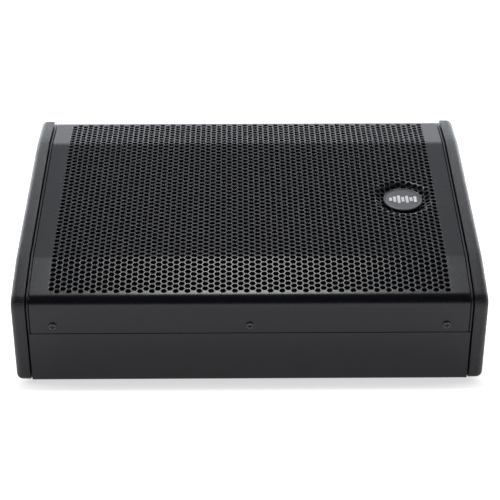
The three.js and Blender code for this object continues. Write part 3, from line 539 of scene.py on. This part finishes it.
def grille():
    """The folded sheet with a hole in each cell of a hexagonal lattice, and its plain margins."""
    points, faces, known = [], [], {}

    def vertex(x, distance, height=0.0):
        key = (round(x * 20), round(distance * 20), round(height * 20))  # merges within 0.05 mm
        if key not in known:
            known[key] = len(points)
            points.append((x, distance, height))
        return known[key]

    def snapped(x, s):
        """The nearest place on the lattice of the cells' corners."""
        return round(x / HALF_FLAT * 2) * HALF_FLAT / 2, round(s / ROW) * ROW

    def corner(x, distance, height):
        return vertex(*snapped(x, distance), height)

    def flat(*places):
        """One patch of plain sheet, on the outer and the inner face."""
        faces.append([vertex(x, s) for x, s in places])
        faces.append([vertex(x, s, -SHEET_THICKNESS) for x, s in reversed(places)])

    turns = np.radians(np.arange(0, 360, 60))
    ring = list(zip(np.cos(turns), np.sin(turns)))
    levels = [(HOLE_RADIUS, -SHEET_THICKNESS)]
    for turn in np.radians((0, 30, 60, 90)):
        levels.insert(0, (
            HOLE_RADIUS + HOLE_ROUND * (1 - math.cos(turn)),
            -HOLE_ROUND * (1 - math.sin(turn)),
        ))
    for x, lowest, highest in columns():
        for s in np.arange(lowest, highest + ROW, HOLE_PITCH):
            rows = [[corner(x + CELL_RADIUS * c, s + CELL_RADIUS * d, 0.0) for c, d in ring]]
            for radius, height in levels:
                rows.append([vertex(x + radius * c, s + radius * d, height) for c, d in ring])
            under = -SHEET_THICKNESS
            rows.append([corner(x + CELL_RADIUS * c, s + CELL_RADIUS * d, under) for c, d in ring])
            for low, high in zip(rows, rows[1:]):
                for k in range(6):
                    n = (k + 1) % 6
                    faces.append((low[k], low[n], high[n], high[k]))

    # Plain margins: beside the first and last column, and below and above the rows.
    edges = list(columns())
    for sign, (x, lowest, highest) in ((-1, edges[0]), (1, edges[-1])):
        zigzag = [snapped(x + sign * HALF_FLAT, lowest - ROW)]
        for s in np.arange(lowest, highest + ROW, HOLE_PITCH):
            zigzag.append(snapped(x + sign * 2 * HALF_FLAT, s))
            zigzag.append(snapped(x + sign * HALF_FLAT, s + ROW))
        for low, high in zip(zigzag, zigzag[1:]):
            lines = [low[0], sign * PUNCHED_EDGE, sign * SHEET_HALF_WIDTH]
            uppers = [high[0], sign * PUNCHED_EDGE, sign * SHEET_HALF_WIDTH]
            for a, b, c, d in zip(lines, lines[1:], uppers[1:], uppers):
                patch = ((a, low[1]), (b, low[1]), (c, high[1]), (d, high[1]))
                flat(*(patch if sign > 0 else patch[::-1]))
    for jagged_side, lines in ((1, LOW_LINES), (-1, HIGH_LINES)):
        steps = []
        for x, lowest, highest in edges:
            jag = lowest - ROW if jagged_side > 0 else highest + ROW
            steps += [snapped(x - HALF_FLAT, jag), snapped(x + HALF_FLAT, jag)]
        first, last = steps[0][1], steps[-1][1]
        steps = [(-SHEET_HALF_WIDTH, first), (-PUNCHED_EDGE, first), *steps]
        steps += [(PUNCHED_EDGE, last), (SHEET_HALF_WIDTH, last)]
        for (x0, jag0), (x1, jag1) in zip(steps, steps[1:]):
            for low, high in zip(lines, lines[1:]):
                flat((x0, low), (x1, low), (x1, high), (x0, high))
            if jagged_side > 0:
                flat((x0, lines[-1]), (x1, lines[-1]), (x1, jag1), (x0, jag0))
            else:
                flat((x0, jag0), (x1, jag1), (x1, lines[0]), (x0, lines[0]))

    # Walls round the sheet: wherever an outer-face edge has one neighbour only.
    used = {}
    for face in faces:
        for a, b in zip(face, [*face[1:], face[0]]):
            used[(a, b)] = True
    for a, b in list(used):
        if (b, a) not in used and points[a][2] == points[b][2] == 0.0:
            (xa, sa, _), (xb, sb, _) = points[a], points[b]
            under = -SHEET_THICKNESS
            faces.append((b, a, vertex(xa, sa, under), vertex(xb, sb, under)))

    x, s, h = np.array(points).T
    placed = on_sheet(x, s, h + dish_height(x, s))
    mesh_object(
        "perforated_grille", placed, faces, MATERIAL["grille_steel"],
        sharp=52, replaces=("grille",),
    )


def foam_layer():
    """A soft layer behind the grille that follows its run and dish."""
    top, ruffle = SHEET_THICKNESS + FOAM_GAP, 0.35
    across = np.linspace(-FOAM_HALF_WIDTH, FOAM_HALF_WIDTH, FOAM_COLUMNS)
    along = np.arange(FOAM_START, FOAM_END, FOAM_STEP)
    rng = np.random.default_rng(7)
    x, s = np.meshgrid(across, along)
    lift = rng.uniform(-ruffle, 0, x.shape)
    upper = np.column_stack([x.ravel(), s.ravel(), (lift - top).ravel()])
    lower = np.column_stack([x.ravel(), s.ravel(), np.full(x.size, -top - FOAM_THICKNESS)])
    px, ps, ph = np.vstack([upper, lower]).T
    placed = on_sheet(px, ps, ph + dish_height(px, ps))
    wide, count = x.shape[1], x.size
    faces = []
    for r in range(x.shape[0] - 1):
        for c in range(wide - 1):
            a = r * wide + c
            faces.append((a, a + 1, a + wide + 1, a + wide))
            faces.append((a + count, a + wide + count, a + wide + 1 + count, a + 1 + count))
    rim = [*range(wide), *(r * wide + wide - 1 for r in range(1, x.shape[0]))]
    rim += range(count - 2, count - wide - 1, -1)
    rim += [r * wide for r in range(x.shape[0] - 2, 0, -1)]
    for a, b in zip(rim, [*rim[1:], rim[0]]):
        faces.append((b, a, a + count, b + count))
    mesh_object("foam_layer", placed, faces, MATERIAL["foam"], replaces=("grille_foam",))


# ---------------------------------------------------------------- turned trim
def disc_ring(radius, height, segments=48):
    """A ring of points about Z; the radius may be a function of the angle."""
    turns = [2 * math.pi * (k + 0.5) / segments for k in range(segments)]
    reach = radius if callable(radius) else lambda turn: radius
    return [(reach(t) * math.cos(t), reach(t) * math.sin(t), height) for t in turns]


def cross_shape(arm, half_width):
    """Radius of a plus-shaped recess at an angle."""
    def reach(turn):
        near = (turn + math.pi / 4) % (math.pi / 2) - math.pi / 4
        return min(arm / math.cos(near), half_width / max(abs(math.sin(near)), 1e-6))
    return reach


def hexagon(flats):
    """Radius of a hexagon with the given distance between its flats."""
    return lambda turn: flats / 2 / math.cos((turn + math.pi / 6) % (math.pi / 3) - math.pi / 6)


def cross_head_screw(name, place, head, rise, shank, length, node=()):
    """A pan-head screw with a cross recess, standing on Z = 0 and pointing along Z."""
    seat, rim, flat = 0.3, 0.35, 0.78  # height of the seat; share of the rise and of the head
    rings = [disc_ring(shank * 0.4, -length), disc_ring(shank, 2 - length), disc_ring(shank, seat)]
    rings += [disc_ring(head, seat), disc_ring(head, seat + rise * rim)]
    for turn in np.radians((22.5, 45, 67.5, 90)):
        radius = head * (flat + (1 - flat) * math.cos(turn))
        rings.append(disc_ring(radius, seat + rise * (rim + (1 - rim) * math.sin(turn))))
    top = seat + rise
    rings.append(disc_ring(cross_shape(head * 0.68, head * 0.17), top))
    rings.append(disc_ring(cross_shape(head * 0.56, head * 0.11), top - rise * 1.1))
    build = Build()
    build.rings(rings)
    build.finish(name, MATERIAL["black_steel"], "black_steel", place, replaces=node)


def socket_head_screw(name, place, head, height, shank, length, node):
    """A cap screw with a hexagon socket and a chamfered head, standing on Z = 0."""
    rings = [disc_ring(shank * 0.8, -length), disc_ring(shank, 1 - length), disc_ring(shank, 0)]
    rings += [disc_ring(head - 0.2, 0), disc_ring(head, 0.2), disc_ring(head, height - 0.5)]
    rings += [disc_ring(head - 0.15, height - 0.2), disc_ring(head - 0.5, height)]
    rings += [disc_ring(hexagon(5.4), height), disc_ring(hexagon(5.0), height - 0.3)]
    rings += [disc_ring(hexagon(5.0), 0.6), disc_ring(0.6, 0.3)]
    build = Build()
    build.rings(rings)
    build.finish(name, MATERIAL["black_steel"], "black_steel", place, replaces=node)


def badge():
    """A spun disc with a beaded rim and a plain mark of level bars."""
    floor = -DISH_DEPTH + 0.3
    top = floor + BADGE_THICKNESS
    face, bead = top - 0.75, 1.1
    profile = [(0, floor - 6), (1.6, floor - 6), (1.6, floor), (BADGE_RADIUS - 0.4, floor)]
    profile += [(BADGE_RADIUS, floor + 0.4), (BADGE_RADIUS, top - 1.0)]
    for turn in np.radians(np.arange(15, 180, 15)):
        profile.append((BADGE_RADIUS - bead + bead * math.cos(turn), top - 1.0 + math.sin(turn)))
    profile += [(BADGE_RADIUS - 2.3, face), (BADGE_RADIUS - 2.7, face)]
    groove = 0.42
    for k, radius in enumerate(np.arange(BADGE_RADIUS - 3.2, 0.6, -groove)):
        profile.append((radius, face + (0.10 if k % 2 else 0.0)))
    profile.append((0, face))
    place = middle_facet(DISH_X, DISH_ALONG)
    build = Build()
    build.lathe(profile, 96)
    material = MATERIAL["badge_metal"]
    build.finish("badge_disc", material, "badge_metal", place, sharp=50, replaces=("badge",))

    bars = Build()
    heights = (6, 10.5, 14.5, 9, 13, 7.5, 11)
    pitch, width = 4.5, 3.2
    for k, tall in enumerate(heights):
        x = (k - (len(heights) - 1) / 2) * pitch
        low = (x - width / 2, -tall / 2, face - 0.2)
        bars.box(low, (x + width / 2, tall / 2, face + 0.35), 0.15)
    bars.finish("badge_bars", MATERIAL["badge_mark"], "badge_metal", place)


def lip_shade_strip():
    """A dark foam strip at the bottom of the gap between the sheet's flange and the front panel; it
    is painted shade that makes the gap read black.
    """
    clear = 0.02  # keeps the strip off the faces beside it
    low = (clear - SHEET_HALF_WIDTH, clear - LIP_GAP, SHADE_STRIP_LOW)
    high = (SHEET_HALF_WIDTH - clear, -clear, SHADE_STRIP_HIGH)
    strip = Build().box(low, high, 0.1)
    strip.finish("lip_shade_strip", MATERIAL["foam"], "foam", on_lip(0, SHEET_FLANGE))


# ---------------------------------------------------------------- end caps
CAP_LOW_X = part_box("end_cap_right")[0].x / MM
CAP_HIGH_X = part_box("end_cap_right")[1].x / MM


def cap_outline(extra):
    """The cap's outline, drawn in from its widest by extra."""
    proud = extra - CAP_PROUD
    points = inset(SIDE, [proud] * (len(SIDE) - 1) + [CAP_BASE + extra])
    grown = CAP_PROUD - extra
    radii = [CORNER_FOOT + grown, CORNER_FRONT + grown, 0, 0]
    radii += [CORNER_TOP + grown, CORNER_BACK + grown, CORNER_FOOT + grown]
    return rounded(points, [max(r, 0) for r in radii], 14)


def window_outline(grow):
    """The handle window: a slot with round ends."""
    steps = 16
    radius = WINDOW_HEIGHT / 2
    reach = WINDOW_WIDTH / 2 - radius
    outline = []
    for side in (1, -1):
        for turn in np.linspace(-90, 90, steps + 1):
            out = heading(turn + (0 if side > 0 else 180)) * (radius + grow)
            outline.append(np.array([WINDOW_Y + side * reach, WINDOW_Z]) + out)
    return outline


def circle_outline(centre, radius):
    steps = 32
    return [np.array(centre) + radius * heading(360 * k / steps) for k in range(steps)]


def level_face(obj, x):
    """Gives the corners on the flat face at X the face's own normal, which its round edges meet."""
    mesh = obj.data
    normals = [Vector() for _ in mesh.loops]
    for loop in mesh.loops:
        on_face = abs(mesh.vertices[loop.vertex_index].co.x / MM - x) < 0.01
        if on_face:
            normals[loop.index] = Vector((math.copysign(1, x), 0, 0))
    mesh.normals_split_custom_set(normals)


def end_cap(name, sign):
    """A moulded cap: rounded outer edge, softened window and counterbored screw holes."""
    build = Build()

    def wall(rings):
        """Joins outlines given with their X into one wall, and gives back its end loops."""
        rows = build.rings(
            [[(sign * x, y, z) for y, z in outline] for outline, x in rings], (False, False),
        )
        return rows[0], rows[-1]

    quarter = np.radians(np.linspace(0, 90, 8))
    outside = [(cap_outline(0), CAP_LOW_X)]
    for turn in quarter:
        inward = CAP_EDGE * (1 - math.cos(turn))
        outside.append((cap_outline(inward), CAP_HIGH_X - CAP_EDGE + CAP_EDGE * math.sin(turn)))
    back_outer, face_outer = wall(outside)

    window = [(window_outline(0), CAP_LOW_X)]
    for turn in quarter:
        grow = WINDOW_EDGE * (1 - math.cos(turn))
        window.append((window_outline(grow), CAP_HIGH_X - WINDOW_EDGE + WINDOW_EDGE * math.sin(turn)))
    back_window, face_window = wall(window)
    back_loops, face_loops = [back_outer, back_window], [face_outer, face_window]

    for place in CAP_SCREWS:
        seat = CAP_HIGH_X - CAP_SINK_DEPTH
        steps = [(CAP_SHANK, CAP_LOW_X), (CAP_SHANK, seat), (CAP_SINK_RADIUS, seat)]
        steps += [(CAP_SINK_RADIUS, CAP_HIGH_X - CAP_SINK_EDGE)]
        steps += [(CAP_SINK_RADIUS + 0.15, CAP_HIGH_X - 0.2)]
        steps += [(CAP_SINK_RADIUS + CAP_SINK_EDGE, CAP_HIGH_X)]
        inner, outer = wall([(circle_outline(place, radius), x) for radius, x in steps])
        back_loops.append(inner)
        face_loops.append(outer)
    build.fill(*back_loops).fill(*face_loops)
    obj = build.finish(
        f"end_cap_{name}_shell", MATERIAL["cap_plastic"], "cap_plastic",
        Matrix.Translation(Vector(SHIFT) * MM), sharp=40, replaces=(f"end_cap_{name}",),
    )
    level_face(obj, sign * CAP_HIGH_X)


def cap_screws(name, sign):
    """Socket screws at the bottom of the cap's sinks."""
    for k, (y, z) in enumerate(CAP_SCREWS, 1):
        x = sign * (CAP_HIGH_X - CAP_SINK_DEPTH + 0.3)
        turn = Matrix.Rotation(sign * math.pi / 2, 4, "Y")
        place = Matrix.Translation(to_row([x, y, z])[0]) @ turn
        node = f"cap_screw_{name}_{k}"
        socket_head_screw(node + "_head", place, 5.5, 2.5, 3, 24, (node,))


grille()
foam_layer()
badge()
# The dark strip in the lip's gap is painted shade.
lip_shade_strip()
for name, x in zip(("left", "centre", "right"), GRILLE_SCREW_X):
    place = on_lip(x, GRILLE_SCREW_DOWN)
    cross_head_screw(f"lip_screw_{name}", place, 4, 1.6, 1.9, 12, (f"grille_screw_{name}",))
for name, sign in SIDES:
    end_cap(name, sign)
    cap_screws(name, sign)

# ---------------------------------------------------------------- cabinet
for name in (
    "side_panel_left", "side_panel_right", "front_panel", "rear_top_panel", "rear_panel",
    "bottom_panel", "baffle_board",
):
    refined(name, "cabinet_paint", 0.5)

# ---------------------------------------------------------------- fittings at the back
PANEL_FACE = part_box("amp_plate")[1].y
TO_REAR = Matrix.Rotation(-math.pi / 2, 4, "X")  # local Z points to the rear and local Y down


def centre_of(node):
    low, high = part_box(node)
    return (low + high) / 2


def on_panel(x, z):
    """Frame on the amplifier panel's face at X and Z in metres."""
    return Matrix.Translation((x, PANEL_FACE, z)) @ TO_REAR


def level_knob():
    """A ribbed knob with a pale pointer, and a dial of ticks on the panel round it."""
    radius, height, ribs = 9.5, 14, 24
    low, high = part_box("level_knob")
    place = on_panel((low.x + high.x) / 2, low.z + radius * MM)

    def ribbed(reach):
        return lambda turn: reach - 0.35 * (math.cos(ribs * turn) > 0)

    profile = ((3, -8), (3, 1), (radius - 0.8, 1))
    rings = [disc_ring(r, z, 96) for r, z in profile]
    for reach, z in ((radius - 0.2, 1.6), (radius - 1.0, height - 1.6)):
        rings.append(disc_ring(ribbed(reach), z, 96))
    for reach, z in ((7.9, 13.4), (7.3, 13.9), (6.6, 14.0), (6.3, 13.75), (2.0, 13.6)):
        rings.append(disc_ring(reach, z, 96))
    build = Build()
    build.rings(rings)
    knob = ("level_knob",)
    build.finish("level_knob_grip", MATERIAL["rubber"], "rubber", place, "level_knob", 30, knob)

    pointer = Build().box((-0.8, -8.2, 13.2), (0.8, -2.6, 14.4), 0.25)
    pointer.finish("level_knob_pointer", MATERIAL["legend_ink"], None, place, "level_knob")

    ticks = Build()
    for turn in np.linspace(-150, 150, 11):
        spin = Matrix.Rotation(math.radians(turn), 4, "Z")
        ticks.box((-0.35, -14.0, -0.05), (0.35, -11.6, 0.12), 0.05, spin, 1)
    ticks.finish("level_dial", MATERIAL["legend_ink"], None, place)


def contacts():
    """Inserts, pins and blades in the three round sockets."""
    insert = Build()
    profile = [(3.4, -14.8), (10.4, -14.8), (10.4, -4.2), (9.9, -3.6), (4.2, -3.6), (3.4, -4.4)]
    insert.lathe(profile)
    centre = centre_of("input_socket")
    place = on_panel(centre.x, centre.z)
    insert.finish("input_insert", MATERIAL["black_plastic"], "black_plastic", place)
    bushes = Build()
    pins = Build()
    for turn in (30, 150, 270):
        spot = Vector((math.cos(math.radians(turn)), math.sin(math.radians(turn)), 0))
        ring = [(1.0, -3.9), (1.7, -3.9), (1.7, -3.4), (1.5, -3.2), (1.0, -3.2)]
        bushes.lathe(ring, 24, Matrix.Translation(spot * 7.0))
        pin = [(0, -14.7), (1.35, -14.7), (1.35, -6.4), (1.1, -5.8), (0.6, -5.5), (0, -5.4)]
        pins.lathe(pin, 24, Matrix.Translation(spot * 5.0))
    bushes.finish("input_bushes", MATERIAL["bare_steel"], "bare_steel", place)
    centre = centre_of("link_socket")
    pins.finish("link_pins", MATERIAL["bare_steel"], "bare_steel", on_panel(centre.x, centre.z))
    centre = centre_of("mains_inlet")
    blades = Build()
    for turn in (0, 120, 240):
        spin = Matrix.Rotation(math.radians(turn), 4, "Z")
        blades.box((-2.0, 6.6, -14.5), (2.0, 7.6, -5.5), 0.25, spin)
    place = on_panel(centre.x, centre.z)
    blades.finish("mains_blades", MATERIAL["bare_steel"], "bare_steel", place)


def panel_screws():
    """Screws round the edge of the amplifier panel."""
    low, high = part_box("amp_plate")
    edge = 5.5 * MM
    middle = (low.z + high.z) / 2
    places = [(low.x + edge, middle), (high.x - edge, middle)]
    for x in np.linspace(low.x + edge, high.x - edge, 5):
        places += [(x, low.z + edge), (x, high.z - edge)]
    for k, (x, z) in enumerate(places, 1):
        cross_head_screw(f"plate_screw_{k}", on_panel(x, z), 3.0, 1.5, 1.6, 12)


def legends():
    """Plain printed lines that group the fittings; there is no lettering."""
    marks = Build()

    def line(x0, z0, x1, z1):
        half = 0.3
        marks.box((x0 - half, -0.05, z0 - half), (x1 + half, 0.1, z1 + half))

    def frame_round(nodes, spare):
        """A rectangle round the nodes, with some spare room."""
        lows = [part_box(n)[0] / MM for n in nodes]
        highs = [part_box(n)[1] / MM for n in nodes]
        x0, x1 = min(p.x for p in lows) - spare, max(p.x for p in highs) + spare
        z0, z1 = min(p.z for p in lows) - spare, max(p.z for p in highs) + spare
        line(x0, z0, x1, z0)
        line(x0, z1, x1, z1)
        line(x0, z0, x0, z1)
        line(x1, z0, x1, z1)

    frame_round(("input_socket", "link_socket"), 2.6)
    frame_round(("line_button", "filter_button"), 3.2)
    frame_round(("mains_inlet", "rocker_frame"), 2.6)
    place = Matrix.Translation((0, PANEL_FACE, 0))
    marks.finish("panel_lines", MATERIAL["legend_ink"], None, place)


def foot_screws():
    """A low screw in the dimple of each foot."""
    facing_down = Matrix.Rotation(math.pi, 4, "X")
    for row in ("front", "rear"):
        for name, _ in SIDES:
            centre = centre_of(f"foot_{row}_{name}")
            place = Matrix.Translation((centre.x, centre.y, FOOT_DIMPLE_DEPTH * MM)) @ facing_down
            cross_head_screw(f"foot_screw_{row}_{name}", place, 3.6, 0.5, 1.8, 6)


level_knob()
contacts()
panel_screws()
legends()
foot_screws()
refined("amp_plate", "aluminium", 0.35)
refined("heat_sink", "cast_metal", 0.5)
refined("rocker_frame", "black_plastic", 0.5)
refined("power_rocker", "black_plastic", 0.5, body="power_rocker")
for name in ("line_button", "filter_button"):
    refined(name, "black_plastic", 0.6, body=name)
for name in ("input_socket", "link_socket", "mains_inlet"):
    refined(name, "black_plastic", 0.5, sharp=40, seam=40)
refined("input_latch", "bare_steel", 0.4, body="input_latch")
refined("status_lights", "lens", 0)
for name, _ in SIDES:
    refined(f"handle_cup_{name}", "black_plastic", 1.2)
    refined(f"cap_spacer_{name}", "rubber", 0.3)
    for row in ("front", "rear"):
        refined(f"foot_{row}_{name}", "rubber", 0.7, sharp=40, seam=40)

# ---------------------------------------------------------------- stage, light and camera
def floor():
    """A pale floor that gives off some light of its own, so that it comes out white."""
    half, albedo, glow = 30.0, 0.8, 0.64
    finish = Finish("pale_floor", (albedo, albedo, albedo), 0.9, specular=0.0)
    finish.vary_colour(finish.noise(300, 2), (albedo * 1.02,) * 3)
    finish.shader.inputs["Emission Color"].default_value = (1, 1, 1, 1)
    finish.shader.inputs["Emission Strength"].default_value = glow
    mesh = bpy.data.meshes.new("floor")
    corners = [(-half, -half, 0), (half, -half, 0), (half, half, 0), (-half, half, 0)]
    mesh.from_pydata(corners, [], [(0, 1, 2, 3)])
    mesh.materials.append(finish.material)
    obj = bpy.data.objects.new("floor", mesh)
    bpy.context.scene.collection.objects.link(obj)


# Elevation in degrees from the rear horizon, over the zenith, to the front horizon, and radiance.
SKY = (
    (0, 2.2), (36, 2.2), (42, 0.58), (51, 0.55), (58, 0.48), (63, 0.24), (70, 0.2),
    (78, 0.42), (93, 0.42), (102, 0.03), (180, 0.0),
)
SKY_TINT = (0.95, 0.985, 1.04)
SKY_STRENGTH, SKY_SIDE_SHARE = 2.0, 0.35
SKY_NARROWS_FROM, SKY_NARROWS_TO = 0.5, 0.85  # sideways part of the direction
BACKGROUND_STRENGTH = 1.05


def world():
    """A sky gradient that is fixed to the world, and a plain white background for the camera."""
    scene_world = bpy.data.worlds.new("studio")
    scene_world.use_nodes = True
    bpy.context.scene.world = scene_world
    tree = scene_world.node_tree
    background = tree.nodes["Background"]
    direction = tree.nodes.new("ShaderNodeTexCoord").outputs["Generated"]
    split = tree.nodes.new("ShaderNodeSeparateXYZ")
    tree.links.new(direction, split.inputs[0])
    angle = tree.nodes.new("ShaderNodeMath")
    angle.operation = "ARCTAN2"
    tree.links.new(split.outputs["Z"], angle.inputs[0])
    tree.links.new(split.outputs["Y"], angle.inputs[1])
    scaled = tree.nodes.new("ShaderNodeMapRange")
    scaled.inputs["From Min"].default_value = 0
    scaled.inputs["From Max"].default_value = math.pi
    tree.links.new(angle.outputs[0], scaled.inputs["Value"])
    ramp = tree.nodes.new("ShaderNodeValToRGB")
    tree.links.new(scaled.outputs["Result"], ramp.inputs["Fac"])
    elements = ramp.color_ramp.elements
    while len(elements) < len(SKY):
        elements.new(0.5)
    for element, (degrees, level) in zip(elements, SKY):
        element.position = degrees / 180
        element.color = (*(level * tint for tint in SKY_TINT), 1)
    across = tree.nodes.new("ShaderNodeMath")
    across.operation = "ABSOLUTE"
    tree.links.new(split.outputs["X"], across.inputs[0])
    narrow = tree.nodes.new("ShaderNodeMapRange")
    narrow.inputs["From Min"].default_value = SKY_NARROWS_FROM
    narrow.inputs["From Max"].default_value = SKY_NARROWS_TO
    narrow.inputs["To Min"].default_value = SKY_STRENGTH
    narrow.inputs["To Max"].default_value = SKY_STRENGTH * SKY_SIDE_SHARE
    tree.links.new(across.outputs[0], narrow.inputs["Value"])
    tree.links.new(narrow.outputs["Result"], background.inputs["Strength"])
    lift = tree.nodes.new("ShaderNodeBackground")
    lift.inputs["Color"].default_value = (1, 1, 1, 1)
    lift.inputs["Strength"].default_value = BACKGROUND_STRENGTH
    tree.links.new(ramp.outputs["Color"], background.inputs["Color"])
    path = tree.nodes.new("ShaderNodeLightPath")
    mix = tree.nodes.new("ShaderNodeMixShader")
    tree.links.new(path.outputs["Is Camera Ray"], mix.inputs["Fac"])
    tree.links.new(background.outputs[0], mix.inputs[1])
    tree.links.new(lift.outputs[0], mix.inputs[2])
    tree.links.new(mix.outputs[0], tree.nodes["World Output"].inputs["Surface"])


def softbox(name, place, target, size, power):
    """A rectangular area light in metres and watts, which the camera doesn't see."""
    light = bpy.data.lights.new(name, "AREA")
    light.shape = "RECTANGLE"
    light.size, light.size_y = size
    light.energy = power
    obj = bpy.data.objects.new(name, light)
    obj.location = place
    obj.rotation_euler = (Vector(target) - Vector(place)).to_track_quat("-Z", "Y").to_euler()
    bpy.context.scene.collection.objects.link(obj)
    obj.visible_camera = False


CAMERA_ELEVATION = math.radians(5.2)
CAMERA_YAW, CAMERA_ROLL = -0.0082, 0.0042  # radians
CAMERA_OFFSET = Vector((2.55, -24.5, 1686.2)) * MM  # from the aim, along the camera's own axes
CAMERA_AIM_X = 3.03
CAMERA_SENSOR, CAMERA_LENS = 36, 117.59


def camera():
    """A long lens a little above the horizon, in front of the wedge and slightly to one side."""
    elevation = CAMERA_ELEVATION
    aim = Vector(on_sheet([CAMERA_AIM_X], [0.0], [0.0])[0])
    right = Vector((1, 0, 0))
    up = Vector((0, math.sin(elevation), math.cos(elevation)))
    ahead = Vector((0, math.cos(elevation), -math.sin(elevation)))
    basis = Matrix((right, up, ahead)).transposed()
    turn = Matrix.Rotation(CAMERA_ROLL, 3, "Z") @ Matrix.Rotation(CAMERA_YAW, 3, "Y")
    axes = basis @ turn.transposed()
    data = bpy.data.cameras.new("camera")
    data.sensor_width = CAMERA_SENSOR
    data.lens = CAMERA_LENS
    data.clip_end = 200
    obj = bpy.data.objects.new("camera", data)
    place = aim - axes @ CAMERA_OFFSET
    pose = Matrix((axes.col[0], axes.col[1], -axes.col[2])).transposed().to_4x4()
    obj.matrix_world = Matrix.Translation(place) @ pose
    bpy.context.scene.collection.objects.link(obj)
    bpy.context.scene.camera = obj


# The nodes that are carried over take the finish of their material slot.
for node, obj in frame["nodes"].items():
    slot = next(s["material_slot"] for s in frame["record"]["subparts"] if s["node"] == node)
    if not obj.material_slots:
        obj.data.materials.append(MATERIAL[slot])
    for material_slot in obj.material_slots:
        material_slot.material = MATERIAL[slot]

floor()
world()
softbox("overhead", (0, 0.03, 2.1), (0, -0.15, 0.13), (0.5, 0.55), 14.0)
softbox("left", (-1.7, -0.6, 1.7), (0, 0, 0.15), (0.9, 0.9), 9.0)
softbox("right", (1.9, -0.2, 1.5), (0, 0, 0.15), (0.7, 0.7), 3.0)
camera()
bpy.context.scene.view_settings.view_transform = "Standard"
bpy.context.view_layer.update()
